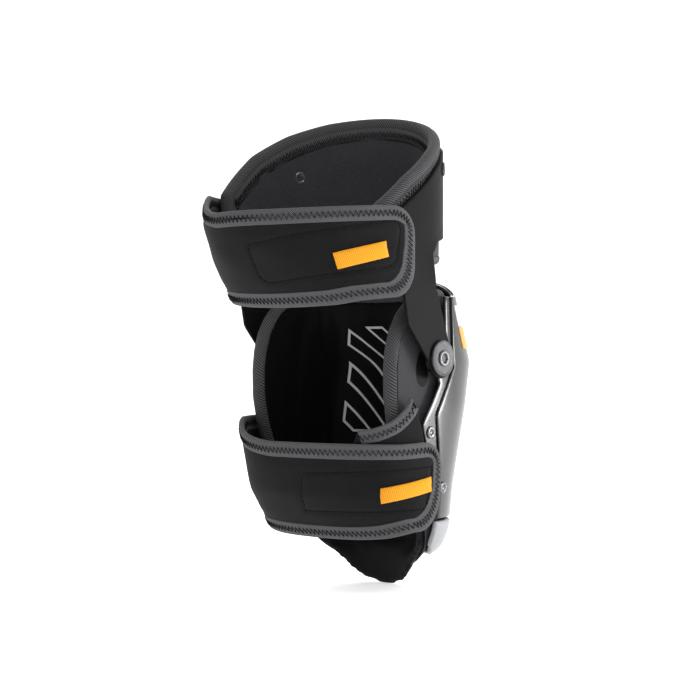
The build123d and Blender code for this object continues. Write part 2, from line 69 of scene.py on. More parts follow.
# ---- surfaces that wrap the leg ----
class Wrap:
    """A surface round the leg, measured along a plan curve (positive towards -X) and up.

    levels holds height, half width, half depth, centre x and centre y in millimetres; front tells
    whether the middle of the curve is the front of the leg or its back.
    """

    STEP = 0.002
    MARGIN = 0.02  # how far the table runs past its end levels

    def __init__(self, levels, power, front, smooth=0.006, straight=0.0, reach=0.26):
        levels = np.array(sorted(levels), float) * MM
        low, high = levels[0, 0] - self.MARGIN, levels[-1, 0] + self.MARGIN
        self.up = np.arange(low, high, self.STEP)
        rows = np.stack([np.interp(self.up, levels[:, 0], column) for column in levels[:, 1:].T])
        width = max(1, int(smooth / self.STEP))
        kernel = np.hanning(2 * width + 3)
        kernel /= kernel.sum()
        padded = np.pad(rows, ((0, 0), (width + 1, width + 1)), mode="edge")
        rows = np.stack([np.convolve(row, kernel, mode="valid") for row in padded])
        self.along = np.arange(-reach, reach + self.STEP, self.STEP)
        self.front = front
        self.x = np.zeros((len(self.up), len(self.along)))
        self.y = np.zeros_like(self.x)
        angle = np.linspace(0, pi / 2 if straight else pi * 0.98, 400)
        for i, (half_x, half_y, centre_x, centre_y) in enumerate(rows.T):
            out = np.abs(np.sin(angle)) ** (2 / power) * half_x
            ahead = np.sign(np.cos(angle)) * np.abs(np.cos(angle)) ** (2 / power) * half_y
            if straight:
                out = np.append(out, half_x)
                ahead = np.append(ahead, -straight)
            run = np.concatenate([[0], np.cumsum(np.hypot(np.diff(out), np.diff(ahead)))])
            place = np.abs(self.along)
            self.x[i] = centre_x - np.sign(self.along) * np.interp(place, run, out)
            self.y[i] = centre_y + (-1 if front else 1) * np.interp(place, run, ahead)

    def flat(self, along, up):
        """Points of the surface itself."""
        i = np.clip((up - self.up[0]) / self.STEP, 0, len(self.up) - 1.001)
        j = np.clip((along - self.along[0]) / self.STEP, 0, len(self.along) - 1.001)
        i0, j0 = i.astype(int), j.astype(int)
        fi, fj = i - i0, j - j0
        found = []
        for table in (self.x, self.y):
            low = table[i0, j0] * (1 - fj) + table[i0, j0 + 1] * fj
            high = table[i0 + 1, j0] * (1 - fj) + table[i0 + 1, j0 + 1] * fj
            found.append(low * (1 - fi) + high * fi)
        return np.stack([found[0], found[1], np.broadcast_to(up, found[0].shape)], axis=-1)

    def normal(self, along, up):
        """Unit normals that point away from the leg."""
        step = 0.003
        round_it = self.flat(along + step, up) - self.flat(along - step, up)
        upward = self.flat(along, up + step) - self.flat(along, up - step)
        square = np.cross(upward, round_it) if self.front else np.cross(round_it, upward)
        return square / np.maximum(np.linalg.norm(square, axis=-1, keepdims=True), 1e-9)

    def place(self, along, up, lift=0.0):
        """Points lifted off the surface by lift."""
        along, up, lift = np.broadcast_arrays(np.asarray(along, float), up, lift)
        return self.flat(along, up) + self.normal(along, up) * lift[..., None]

    def along_at(self, y, up, side):
        """Where the surface passes a given y on one side: 1 is the -X side, -1 the +X side."""
        y, up = np.broadcast_arrays(np.asarray(y, float), up)
        half = self.along[self.along >= 0]
        found = np.zeros(y.shape)
        for index in np.ndindex(y.shape):
            line = self.flat(side * half, np.full(half.shape, up[index]))[:, 1]
            line = line if self.front else -line
            found[index] = np.interp(y[index] if self.front else -y[index], line, half)
        return side * found


def edge_up(wrap, along, height_at, guess):
    """Height at which a panel's end, given as a function of y, crosses each along."""
    up = np.full(np.shape(along), float(guess))
    for _ in range(8):
        up = 0.5 * up + 0.5 * height_at(wrap.flat(along, up)[:, 1])
    return up


class ArmWrap(Wrap):
    """The thigh shell's surface, which turns into two flat arms lower down."""

    ARM_X = 94.3 * MM
    FULL_AT, NONE_AT = 0.062, 0.112

    def flat(self, along, up):
        point = super().flat(along, up)
        side = np.sign(point[..., 0])
        share = np.clip((self.NONE_AT - up) / (self.NONE_AT - self.FULL_AT), 0, 1)
        share = share * share * (3 - 2 * share) * (point[..., 1] > -0.03)
        point[..., 0] += (side * self.ARM_X - point[..., 0]) * share
        return point


# ---- mesh makers ----
def mesh_object(name, points, faces, uvs=None):
    """Smooth-shaded object from points, faces and one UV per point, in metres of cloth."""
    mesh = bpy.data.meshes.new(name)
    mesh.from_pydata([tuple(p) for p in points], [], [tuple(f) for f in faces])
    if uvs is not None:
        layer = mesh.uv_layers.new(name="cloth")
        corners = np.zeros(len(mesh.loops), int)
        mesh.loops.foreach_get("vertex_index", corners)
        layer.data.foreach_set("uv", np.asarray(uvs, float)[corners].ravel())
    mesh.polygons.foreach_set("use_smooth", [True] * len(mesh.polygons))
    mesh.validate()
    piece = bpy.data.objects.new(name, mesh)
    bpy.context.scene.collection.objects.link(piece)
    return piece


def crowded(count, edge):
    """Fractions from 0 to 1 that crowd together near both ends, edge being the rounding's share."""
    turn = edge * (1 - np.cos(np.linspace(0, pi / 2, 5)))
    middle = np.linspace(edge, 1 - edge, count)[1:-1]
    return np.concatenate([turn, middle, (1 - turn)[::-1]])


def panel_grid(left, right, bottom, top, edge, step=0.004):
    """Along and up of a panel between side edges (functions of height) and ends (functions of the
    fraction across)."""
    middle = float(np.mean(bottom(np.array([0.5])) + top(np.array([0.5])))) / 2
    width = abs(float(right(middle)) - float(left(middle)))
    across = crowded(max(6, int(width / step)), edge / width)
    low, high = bottom(across), top(across)
    height = float(np.mean(high - low))
    rows = crowded(max(5, int(height / step)), edge / height)
    up = low[None, :] + (high - low)[None, :] * rows[:, None]
    along = left(up) + (right(up) - left(up)) * across[None, :]
    return along, up


def border_distance(along, up, mask):
    """Distance of each grid point from the border of its panel, in the flat."""
    spots = np.stack([along, up], axis=-1)
    far = np.full(up.shape, 1.0)
    for spot in spots[border_points(mask)]:
        far = np.minimum(far, np.hypot(*np.moveaxis(spots - spot, -1, 0)))
    return far


def border_points(mask):
    """Grid points on the border of the cells that the mask keeps."""
    rows, columns = mask.shape
    used = np.zeros((rows + 1, columns + 1), int)
    for i in (0, 1):
        for j in (0, 1):
            used[i : rows + i, j : columns + j] += mask
    return (used > 0) & (used < 4)


def slab(name, wrap, grid, outside, inside, edge, mask=None, bulge=None):
    """Closed piece between two lifts of a wrap, its border rounded over edge."""
    along, up = grid
    cells = np.ones((up.shape[0] - 1, up.shape[1] - 1), bool) if mask is None else mask
    away = border_distance(along, up, cells)
    round_off = np.sqrt(np.clip(1 - (1 - np.clip(away / edge, 0, 1)) ** 2, 0, 1))
    outside, inside = np.broadcast_to(outside, up.shape), np.broadcast_to(inside, up.shape)
    middle, half = (outside + inside) / 2, (outside - inside) / 2
    swell_out, swell_in = bulge(along, up, away) if bulge else (0.0, 0.0)
    skins = (
        wrap.place(along, up, middle + (half + swell_out) * round_off),
        wrap.place(along, up, middle - (half + swell_in) * round_off),
    )
    border = border_points(cells)
    ids = np.full((2, *up.shape), -1)
    points, uvs = [], []
    for skin in (0, 1):
        for i, j in np.ndindex(up.shape):
            if skin and border[i, j]:
                ids[1, i, j] = ids[0, i, j]
                continue
            ids[skin, i, j] = len(points)
            points.append(skins[skin][i, j])
            uvs.append((along[i, j], up[i, j]))
    faces = []
    for i, j in np.argwhere(cells):
        ring = [(i, j), (i, j + 1), (i + 1, j + 1), (i + 1, j)]
        if wrap.front:
            ring = ring[::-1]
        faces.append([ids[(0, *p)] for p in ring])
        faces.append([ids[(1, *p)] for p in ring[::-1]])
    used = sorted({i for face in faces for i in face})
    fresh = {old: new for new, old in enumerate(used)}
    faces = [[fresh[i] for i in face] for face in faces]
    return mesh_object(name, [points[i] for i in used], faces, [uvs[i] for i in used])


def inward(path, centre):
    """Unit vectors square to a flat path, on the side of centre."""
    run = np.gradient(path, axis=0)
    run /= np.maximum(np.linalg.norm(run, axis=1, keepdims=True), 1e-9)
    square = np.stack([-run[:, 1], run[:, 0]], axis=1)
    wrong = np.sum((np.asarray(centre) - path) * square, axis=1) < 0
    return -square if wrong.mean() > 0.5 else square


def resample(path, step):
    """Points evenly spaced along a polyline."""
    path = np.asarray(path, float)
    run = np.concatenate([[0], np.cumsum(np.linalg.norm(np.diff(path, axis=0), axis=1))])
    count = max(2, int(round(run[-1] / step)) + 1)
    places = np.linspace(0, run[-1], count)
    return np.stack([np.interp(places, run, column) for column in path.T], axis=1)


def tube_faces(start, rings, count):
    """Faces of a tube with flat ends, whose points are numbered ring after ring."""
    faces = []
    last = start + (rings - 1) * count
    for i in range(start, last, count):
        for k in range(count):
            n = (k + 1) % count
            faces.append([i + k, i + n, i + count + n, i + count + k])
    return faces + [list(range(start, start + count))[::-1], list(range(last, last + count))]


def tube(name, rings, uvs=None):
    """Object made of equal rings of points, one after the other."""
    rings = np.asarray(rings)
    return mesh_object(name, rings.reshape(-1, 3), tube_faces(0, *rings.shape[:2]), uvs)


BAND_STEP = 0.0025


def band(name, wrap, path, centre, section):
    """Tape or roll along the border of a panel: a closed section of (inset, lift) pairs swept
    along a flat path."""
    path = resample(path, BAND_STEP)
    square = inward(path, centre)
    section = np.array(section)
    rings = []
    for inset, lift in section:
        spot = path + square * inset
        rings.append(wrap.place(spot[:, 0], spot[:, 1], lift))
    girth = np.concatenate([[0], np.cumsum(np.linalg.norm(np.diff(section, axis=0), axis=1))])
    length = np.arange(len(path)) * BAND_STEP
    return tube(name, np.stack(rings, axis=1), [(a, g) for a in length for g in girth])


def tape_section(width, outside, inside, proud):
    """C-shaped section of a binding folded over an edge between two lifts."""
    grip, corner = 0.0004, 0.0006
    middle, half = (outside + inside) / 2, (outside - inside) / 2 + proud
    turns = np.linspace(pi / 2, -pi / 2, 9)
    back, bead = width - corner, proud * 0.55
    lip = [(width, outside - grip), (width, outside + bead), (back, outside + proud)]
    fold = [(half * 0.9 - half * cos(a), middle + half * sin(a)) for a in turns]
    tail = [(back, inside - proud), (width, inside - bead), (width, inside + grip)]
    core = [(half, inside + grip), (half, outside - grip)]
    return lip + fold + tail + core


def roll_section(depth, outside, inside, proud):
    """Plump closed section of a rolled binding over an edge."""
    middle, half = (outside + inside) / 2, (outside - inside) / 2 + proud
    turns = np.linspace(0, 2 * pi, 20, endpoint=False)
    return [(depth / 2 - (depth / 2 + proud) * cos(a), middle + half * sin(a)) for a in turns]


def flat_section(near, far, low, high):
    """Thin strip section between two insets and two lifts, with soft corners."""
    soft = (high - low) * 0.4
    outer = [(near, low), (near, high), (far - soft, high), (far, high - soft)]
    return outer + [(far, low + soft), (far - soft, low)]


def threads(name, wrap, runs, radius=0.0005):
    """Sewing thread: each run is a list of (along, up, lift) points, made as one thin tube."""
    points, faces = [], []
    for run in runs:
        run = np.asarray(run)
        spots = wrap.place(run[:, 0], run[:, 1], run[:, 2])
        lift = wrap.normal(run[:, 0], run[:, 1])
        heading = np.gradient(spots, axis=0)
        heading /= np.maximum(np.linalg.norm(heading, axis=1, keepdims=True), 1e-9)
        across = np.cross(lift, heading)
        faces += tube_faces(len(points), len(spots), 4)
        for spot, up, out in zip(spots, lift, across):
            for turn in range(4):
                angle = turn * pi / 2
                points.append(spot + (out * cos(angle) + up * sin(angle)) * radius)
    return mesh_object(name, points, faces)


STITCH_PITCH = 0.0046


def zigzag(path, centre, inset, swing, lift, pitch=STITCH_PITCH):
    """One run of zigzag stitching beside a path."""
    path = resample(path, pitch / 2)
    square = inward(path, centre)
    side = np.where(np.arange(len(path)) % 2 == 0, -swing / 2, swing / 2)
    spot = path + square * (inset + side)[:, None]
    return np.column_stack([spot, np.full(len(spot), lift)])


def dashes(path, centre, inset, stitch, gap, lift):
    """Straight stitching beside a path: one short run for each stitch, its ends pulled in."""
    step, sunk = 0.0008, 0.0006
    path = resample(path, step)
    spot = path + inward(path, centre) * inset
    whole, part = int((stitch + gap) / step), max(2, int(stitch / step))
    runs = []
    for start in range(0, len(spot) - part, whole):
        piece = spot[start : start + part + 1]
        dip = np.full(len(piece), lift)
        dip[0] = dip[-1] = lift - sunk
        runs.append(np.column_stack([piece, dip]))
    return runs


def lathe(name, profile, origin, axis, segments=56):
    """Solid of revolution: profile is (radius, distance along axis), from one pole to the other."""
    axis = Vector(axis).normalized()
    side = axis.orthogonal().normalized()
    other = axis.cross(side)
    rings = []
    for radius, rise in profile:
        middle = Vector(origin) + axis * rise
        turns = [2 * pi * k / segments for k in range(segments)]
        reach = max(radius, 1e-5)
        rings.append([tuple(middle + (side * cos(a) + other * sin(a)) * reach) for a in turns])
    return tube(name, rings)


def pick(piece):
    """Makes a piece the only selected and the active one."""
    for other in bpy.context.selected_objects:
        other.select_set(False)
    piece.select_set(True)
    bpy.context.view_layer.objects.active = piece


def joined(name, pieces):
    """One object from several."""
    pick(pieces[0])
    for piece in pieces:
        piece.select_set(True)
    bpy.ops.object.join()
    pieces[0].name = pieces[0].data.name = name
    return pieces[0]


# ---- materials ----
class Paint:
    """A material and short calls for its nodes."""

    def __init__(self, name, **fixed):
        self.material = bpy.data.materials.new(name)
        self.material.use_nodes = True
        self.tree = self.material.node_tree
        self.shader = self.tree.nodes["Principled BSDF"]
        for socket, value in fixed.items():
            self.shader.inputs[socket.replace("_", " ")].default_value = value
        self.object_point = self.node("TexCoord").outputs["Object"]

    def node(self, kind, **settings):
        made = self.tree.nodes.new("ShaderNode" + kind)
        for key, value in settings.items():
            setattr(made, key, value)
        return made

    def put(self, socket, value):
        """Links a socket to another, or gives it a plain value."""
        if isinstance(value, bpy.types.NodeSocket):
            self.tree.links.new(value, socket)
        else:
            socket.default_value = value

    def feed(self, node, **sources):
        for name, value in sources.items():
            self.put(node.inputs[name.replace("_", " ")], value)
        return node

    def math(self, operation, *values):
        made = self.node("Math", operation=operation)
        for k, value in enumerate(values):
            self.put(made.inputs[k], value)
        return made.outputs[0]

    def cloth(self):
        """Along and up in metres, from the piece's own UV map."""
        split = self.node("SeparateXYZ")
        uv = self.node("UVMap", uv_map="cloth")
        self.tree.links.new(uv.outputs["UV"], split.inputs[0])
        return split.outputs[0], split.outputs[1]

    def noise(self, scale, detail=3.0, roughness=0.6):
        made = self.node("TexNoise")
        self.feed(made, Vector=self.object_point, Scale=scale, Detail=detail, Roughness=roughness)
        return made.outputs["Fac"]

    def wave(self, phase, pitch):
        """Smooth ridges, 0 to 1, one each pitch."""
        turned = self.math("SINE", self.math("MULTIPLY", phase, 2 * pi / pitch))
        return self.math("MULTIPLY_ADD", turned, 0.5, 0.5)

    def blend(self, share, dark, light):
        """Mix of two colours, each a socket or three numbers."""
        made = self.node("Mix", data_type="RGBA")
        self.put(made.inputs[0], share)
        for k, colour in ((6, dark), (7, light)):
            self.put(made.inputs[k], (*colour, 1.0) if isinstance(colour, tuple) else colour)
        return made.outputs[2]

    def ramp(self, value, low, high):
        """0 to 1 between two values."""
        return self.feed(self.node("MapRange"), Value=value, From_Min=low, From_Max=high).outputs[0]

    def colour(self, share, dark, light):
        """Base colour, blended from two."""
        self.put(self.shader.inputs["Base Color"], self.blend(share, dark, light))

    def roughness(self, value, low, high):
        made = self.feed(self.node("MapRange"), Value=value, To_Min=low, To_Max=high)
        self.put(self.shader.inputs["Roughness"], made.outputs[0])

    def bump(self, *layers):
        """layers are (height, distance in metres, strength)."""
        last = None
        for height, distance, strength in layers:
            made = self.feed(self.node("Bump"), Height=height, Distance=distance, Strength=strength)
            if last is not None:
                self.put(made.inputs["Normal"], last)
            last = made.outputs["Normal"]
        self.put(self.shader.inputs["Normal"], last)


def shade(colour, factor):
    return tuple(min(1.0, c * factor) for c in colour)


def plastic(name, colour, roughness, coat=0.0, grain=0.12, specular=0.5):
    """Moulded plastic: fine leathery grain, slight mottling and fine scuffs."""
    paint = Paint(name, Coat_Weight=coat, Coat_Roughness=0.25, Specular_IOR_Level=specular)
    mottle, fine, scuffs = paint.noise(14), paint.noise(900, 2), paint.noise(220, 6, 0.75)
    marks = paint.ramp(scuffs, 0.60, 0.72)
    worn = paint.blend(paint.math("MULTIPLY", marks, 0.35), shade(colour, 0.9), shade(colour, 2.4))
    paint.colour(paint.ramp(mottle, 0.35, 0.7), worn, shade(colour, 1.15))
    uneven = paint.math("MULTIPLY_ADD", marks, 0.3, paint.math("MULTIPLY", mottle, 0.8))
    paint.roughness(uneven, roughness - 0.06, roughness + 0.14)
    paint.bump((fine, 0.0001, grain), (mottle, 0.0006, 0.05))
    return paint.material


def metal(name, colour, roughness):
    """Coated steel, with fine turning marks and worn patches."""
    paint = Paint(name, Metallic=0.85)
    wear, fine = paint.noise(380, 5, 0.7), paint.noise(1600, 2)
    paint.colour(paint.ramp(wear, 0.55, 0.75), colour, shade(colour, 3.0))
    paint.roughness(wear, roughness - 0.08, roughness + 0.15)
    paint.bump((fine, 0.00005, 0.15), (wear, 0.0001, 0.1))
    return paint.material


def knit(name, colour, sheen=0.03, light=1.9, loft=0.2, specular=0.14):
    """Neoprene or brushed lining with a fine knitted face."""
    paint = Paint(name, Sheen_Weight=sheen, Sheen_Roughness=0.45, Specular_IOR_Level=specular)
    loops, cloud, fuzz = paint.noise(2600, 2), paint.noise(22, 4), paint.noise(700, 4, 0.7)
    mixed = paint.math("MULTIPLY_ADD", loops, 0.55, paint.math("MULTIPLY", fuzz, 0.45))
    base = paint.blend(paint.ramp(mixed, 0.35, 0.65), shade(colour, 0.7), shade(colour, light))
    faded = paint.math("MULTIPLY", paint.ramp(cloud, 0.4, 0.75), 0.35)
    paint.colour(faded, base, shade(colour, 2.2))
    paint.roughness(fuzz, 0.72, 0.9)
    paint.bump((loops, 0.00015, loft), (fuzz, 0.0003, loft), (cloud, 0.002, 0.08))
    return paint.material


def woven(name, colour, pitch, light=2.2, dark=0.45, depth=0.0003, ribs=1.0):
    """Twill or tape: slanting ribs crossed by finer threads, from the cloth's own measures."""
    paint = Paint(name, Sheen_Weight=0.04, Sheen_Roughness=0.5, Specular_IOR_Level=0.15)
    along, up = paint.cloth()
    slant = paint.math("MULTIPLY_ADD", up, ribs, along)
    other = paint.math("MULTIPLY_ADD", up, -0.6, along)
    rib, thread = paint.wave(slant, pitch), paint.wave(other, pitch * 0.42)
    weave = paint.math("MULTIPLY", rib, paint.math("MULTIPLY_ADD", thread, 0.45, 0.55))
    fuzz = paint.noise(1500, 3)
    height = paint.math("MULTIPLY_ADD", fuzz, 0.3, weave)
    # The weave pattern is real, but its colour, darker in the hollows and lighter on the ribs, is
    # painted shade and painted highlight.
    paint.colour(paint.ramp(height, 0.15, 1.0), shade(colour, dark), shade(colour, light))
    paint.roughness(fuzz, 0.72, 0.95)
    paint.bump((height, depth, 0.55))
    return paint.material


def printed_liner(name, colour, ink):
    """Smooth knitted lining with a generic print of outlined slanting bars."""
    half_width, half_height, middle, taper_from, taper = 0.0495, 0.049, -0.020, 0.005, 0.28
    period, shift, bar, line = 0.0366, 0.0433, 0.0098, 0.0021
    slope, square, front_y = 0.98, 0.714, -0.080
    paint = Paint(name, Sheen_Weight=0.01, Sheen_Roughness=0.35, Specular_IOR_Level=0.1)
    do = paint.math
    split = paint.node("SeparateXYZ")
    paint.tree.links.new(paint.object_point, split.inputs[0])
    x, y, z = split.outputs
    turn = do("FLOORED_MODULO", do("ADD", do("MULTIPLY_ADD", x, -slope, z), shift), period)
    beside = do("ABSOLUTE", do("SUBTRACT", turn, period / 2))
    slanted = do("MULTIPLY", do("SUBTRACT", beside, bar), square)
    rise = do("MAXIMUM", do("SUBTRACT", z, taper_from), 0.0)
    wide = do("MULTIPLY_ADD", rise, taper, do("SUBTRACT", do("ABSOLUTE", x), half_width))
    tall = do("SUBTRACT", do("ABSOLUTE", do("SUBTRACT", z, middle)), half_height)
    reach = do("MAXIMUM", slanted, do("MAXIMUM", wide, tall))
    mark = do("MULTIPLY", do("LESS_THAN", reach, 0.0), do("GREATER_THAN", reach, -line))
    mark = do("MULTIPLY", mark, do("GREATER_THAN", y, front_y))
    loops, cloud = paint.noise(2400, 2), paint.noise(18, 4)
    cloth = paint.blend(paint.ramp(loops, 0.35, 0.7), shade(colour, 0.7), shade(colour, 1.8))
    paint.colour(do("MULTIPLY", mark, 0.92), cloth, ink)
    paint.roughness(loops, 0.5, 0.68)
    paint.bump((loops, 0.0001, 0.15), (cloud, 0.002, 0.08))
    return paint.material


neoprene = knit("neoprene", (0.0060, 0.0060, 0.0066), specular=0.10)
thigh_lining = knit("thigh_lining", (0.021, 0.021, 0.024), sheen=0.12, light=2.0, loft=0.3)
hook_tape = knit("hook_tape", (0.006, 0.006, 0.007), loft=0.6)
knee_lining = printed_liner("knee_lining", (0.0022, 0.0022, 0.0025), (0.68, 0.69, 0.72))
side_twill = woven("side_twill", (0.030, 0.030, 0.033), 0.0022, light=2.4)
binding_twill = woven("binding_twill", (0.040, 0.040, 0.042), 0.0028, light=2.5, depth=0.0006)
edge_webbing = woven("edge_webbing", (0.070, 0.070, 0.074), 0.0018, light=2.1)
amber_webbing = woven("amber_webbing", (0.86, 0.34, 0.02), 0.0016, light=1.25, dark=0.72, ribs=0.0)
thread_black = knit("thread_black", (0.0025, 0.0025, 0.003))
hard_plastic = plastic("hard_plastic", (0.010, 0.010, 0.011), 0.24, coat=0.35, specular=0.4)
matt_plastic = plastic("matt_plastic", (0.0060, 0.0060, 0.0065), 0.50, grain=0.3, specular=0.05)
lip_plastic = plastic("lip_plastic", (0.30, 0.305, 0.32), 0.42)
badge_white = plastic("badge_white", (0.62, 0.62, 0.62), 0.35)
badge_amber = plastic("badge_amber", (0.82, 0.36, 0.03), 0.35)
black_metal = metal("black_metal", (0.040, 0.040, 0.042), 0.38)
pin_metal = metal("pin_metal", (0.13, 0.13, 0.135), 0.26)
bush_plastic = plastic("bush_plastic", (0.03, 0.03, 0.03), 0.5)


def finish_piece(piece, material, body, replaces=()):
    """Material, body and the CAD nodes that a piece stands for."""
    piece.data.materials.clear()
    piece.data.materials.append(material)
    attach(piece, body)
    if replaces:
        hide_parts(*replaces)
    return piece


# ---- the frame's surfaces ----
CAP_LEVELS = [
    (90, 92.0, 49.0),
    (55, 92.0, 67.0),
    (-3, 92.0, 101.4),
    (-43, 92.0, 90.3),
    (-114, 86.5, 70.6),
    (-146, 81.2, 73.8),
]
LIP_LEVELS = [(-140, 82.2, 73.4), (-152, 79.8, 74.6), (-168, 74.0, 68.4), (-180, 60.0, 52.0)]
PAD_LEVELS = [
    (72, 81.4, 50.0, 13, 18),
    (55, 81.4, 60.0, 13, 20),
    (-3, 81.4, 94.9, 13, 24),
    (-43, 81.4, 83.8, 13, 24),
    (-114, 77.5, 64.1, 12, 18),
    (-150, 71.0, 60.0, 11, 14),
    (-166, 64.0, 56.0, 10, 11),
    (-178, 54.5, 46.5, 9, 9),
    (-198, 45.0, 47.5, 8, 8),
    (-213, 28.0, 48.5, 7, 7),
]
THIGH_LEVELS = [(260, 94.6, 118, 0, 43), (-30, 94.6, 118, 0, 43)]
THIGH_STRAP_LEVELS = [
    (150, 100.6, 111, 0, 43),
    (118, 100.6, 114, 0, 43),
    (88, 100.6, 101, -0.3, 41),
    (36, 98, 68, -3.2, 33),
]
SHIN_STRAP_LEVELS = [
    (-38, 96.4, 92, -1.2, 10),
    (-60, 96.4, 89, -1.2, 8),
    (-117, 93.4, 76, -1.2, 3),
    (-162, 86.4, 44, -1.2, 0),
]


def centred(levels):
    """Levels of a cap, whose curves are centred on the hinge axis."""
    return [(z, w, d, 0, 0) for z, w, d in levels]


cap = Wrap(centred(CAP_LEVELS), 2.5, True, straight=0.1)
lip_wrap = Wrap(centred(LIP_LEVELS), 2.5, True, straight=0.1, smooth=0.004)
pad_middle = [(z, w - side / 2, d - front / 2, 0, 0) for z, w, d, side, front in PAD_LEVELS]
pad_wrap = Wrap(pad_middle, 2.5, True, straight=0.1)
thigh_wrap = Wrap(THIGH_LEVELS, 2.0, True, reach=0.3)
arm_wrap = ArmWrap(THIGH_LEVELS, 2.0, True, reach=0.3)
thigh_strap_wrap = Wrap(THIGH_STRAP_LEVELS, 2.0, False, reach=0.27)
shin_strap_wrap = Wrap(SHIN_STRAP_LEVELS, 2.6, False, reach=0.24)


def curve(points):
    """Function through (input, output) pairs in millimetres, for metres."""
    pairs = np.array(sorted(points), float) * MM
    return lambda value: np.interp(value, pairs[:, 0], pairs[:, 1])


def level(value):
    """Function that gives one value for every spot."""
    return lambda spots: np.full(np.shape(spots), float(value))


def edge_table(wrap, y_at, side, low, high, step=0.004):
    """Function of height that gives where a rear edge lies along a wrap."""
    heights = np.arange(low, high + step, step)
    places = wrap.along_at(y_at(heights), heights, side)
    return lambda up: np.interp(up, heights, places)


# ---- knee pad ----
PAD_TOP, TONGUE_FROM, TONGUE_TIP, TONGUE_BARE = 0.0605, -0.185, -0.209, -0.150
PAD_ROUND, PAD_BIND = 0.0075, 0.0008  # radius of the pad's edge; the binding stands this far out
PAD_CENTRE = (0.0, -0.06)
pad_rear = curve([
    (-185, -27), (-170, -16), (-145, 2), (-90, 36), (-60, 47), (-35, 52), (-10, 52.5), (8, 50.5),
    (24, 45), (38, 36), (48, 25), (55, 8), (59, -12), (60.5, -30),
])
pad_edge = edge_table(pad_wrap, pad_rear, 1, TONGUE_FROM, PAD_TOP, 0.0025)


def pad_panel(inset, edge):
    """Grid of the knee pad, drawn in all round by inset."""
    def bottom(share):
        return TONGUE_TIP + inset + (TONGUE_FROM - TONGUE_TIP) * np.abs(2 * share - 1) ** 2.3

    return panel_grid(
        lambda up: -(pad_edge(up) - inset), lambda up: pad_edge(up) - inset, bottom,
        level(PAD_TOP - inset), edge,
    )


def pad_half_thickness(along, up):
    """Half the pad's thickness: thicker in front of the knee than at its sides."""
    table = np.array(sorted(PAD_LEVELS), float) * MM
    side, front = (np.interp(up, table[:, 0], table[:, k]) for k in (3, 4))
    turn = np.clip(np.abs(along) / 0.115, 0, 1)
    turn = turn * turn * (3 - 2 * turn)
    return (front + (side - front) * turn) / 2


def pad_swell(along, up, away):
    """The lining stands a little proud between its seams."""
    rise = np.clip((away - 0.006) / 0.03, 0, 1)
    return np.zeros_like(up), 0.0022 * rise * (2 - rise) - 0.0006


pad_grid = pad_panel(0.0, 0.007)
half_pad = pad_half_thickness(*pad_grid)
knee_pad = slab("knee_pad", pad_wrap, pad_grid, half_pad, -half_pad, PAD_ROUND, bulge=pad_swell)

cover_grid = pad_panel(0.006, 0.0012)
half_cover = pad_half_thickness(*cover_grid)
knee_side_cover = slab(
    "knee_side_twill", pad_wrap, cover_grid, half_cover + 0.0009, half_cover - 0.0006, 0.0012
)

def border_path(grid):
    """Flat path along the left, top and right borders of a grid."""
    along, up = grid
    left = np.column_stack([along[:, 0], up[:, 0]])
    top = np.column_stack([along[-1], up[-1]])
    right = np.column_stack([along[:, -1], up[:, -1]])[::-1]
    return np.concatenate([left[:-1], top, right[1:]])


def whole_border(grid):
    """Flat path once round a grid."""
    along, up = grid
    bottom = np.column_stack([along[0], up[0]])[::-1]
    return np.concatenate([border_path(grid), bottom[1:]])


pad_bound_path = resample(border_path(pad_grid), 0.003)
pad_bound_path = pad_bound_path[pad_bound_path[:, 1] > TONGUE_BARE]


def pad_binding(name, width=0.008, skin=0.001):
    """Binding folded over the pad's edge, its section following the pad's own thickness."""
    turns = np.linspace(1.25, -1.25, 15)
    rings = []
    for spot, way in zip(pad_bound_path, inward(pad_bound_path, PAD_CENTRE)):
        half = float(pad_half_thickness(*(spot + way * width)))
        ring = []
        for proud, order in ((PAD_BIND, turns), (-skin, turns[::-1])):
            for a in order:
                ring.append((PAD_ROUND - (PAD_ROUND + proud) * cos(a), (half + proud) * sin(a)))
        ring = np.array(ring)
        at = spot[None, :] + way[None, :] * ring[:, :1]
        rings.append(pad_wrap.place(at[:, 0], at[:, 1], ring[:, 1]))
    count = 2 * len(turns)
    uvs = [(i * 0.003, k * 0.0011) for i in range(len(rings)) for k in range(count)]
    return tube(name, rings, uvs)


def pad_zigzag():
    """Zigzag stitching on the inner side of the pad's binding."""
    run = zigzag(pad_bound_path, PAD_CENTRE, 0.0062, 0.0034, 0.0)
    gaps = run[:, None, :2] - pad_bound_path[None, :, :]
    inset = np.hypot(gaps[..., 0], gaps[..., 1]).min(axis=1)
    bend = 1.25 - (inset - PAD_ROUND) / PAD_ROUND
    half = pad_half_thickness(run[:, 0], run[:, 1])
    run[:, 2] = -(half + PAD_BIND) * np.sin(np.clip(bend, 0.6, 1.25)) - 0.0002
    return run


knee_edge_binding = pad_binding("knee_edge_binding")


# ---- thigh pad ----
RIM_TILT = 0.15
THIGH_OUT, THIGH_IN = -0.0038, -0.0122  # lifts of the pad's two faces
THIGH_MIDDLE = (0.0, 0.12)
THIGH_RIVETS = [(-0.076, 0.167), (0.084, 0.167), (-0.036, 0.122), (0.036, 0.122)]
PLAN_HEIGHT = 0.15  # the thigh loop's plan is the same at every height
rim_height = curve([(-90, 226), (-40, 208), (0, 191), (43, 168.5), (90, 134), (100, 126)])
thigh_low = curve([(-100, 86), (-40, 84), (10, 80), (100, 80)])
thigh_rear = abs(float(thigh_wrap.along_at(0.092, PLAN_HEIGHT, 1)))


def thigh_plan(along):
    """Points of the thigh loop's plan."""
    return thigh_wrap.flat(along, np.full(np.shape(along), PLAN_HEIGHT))


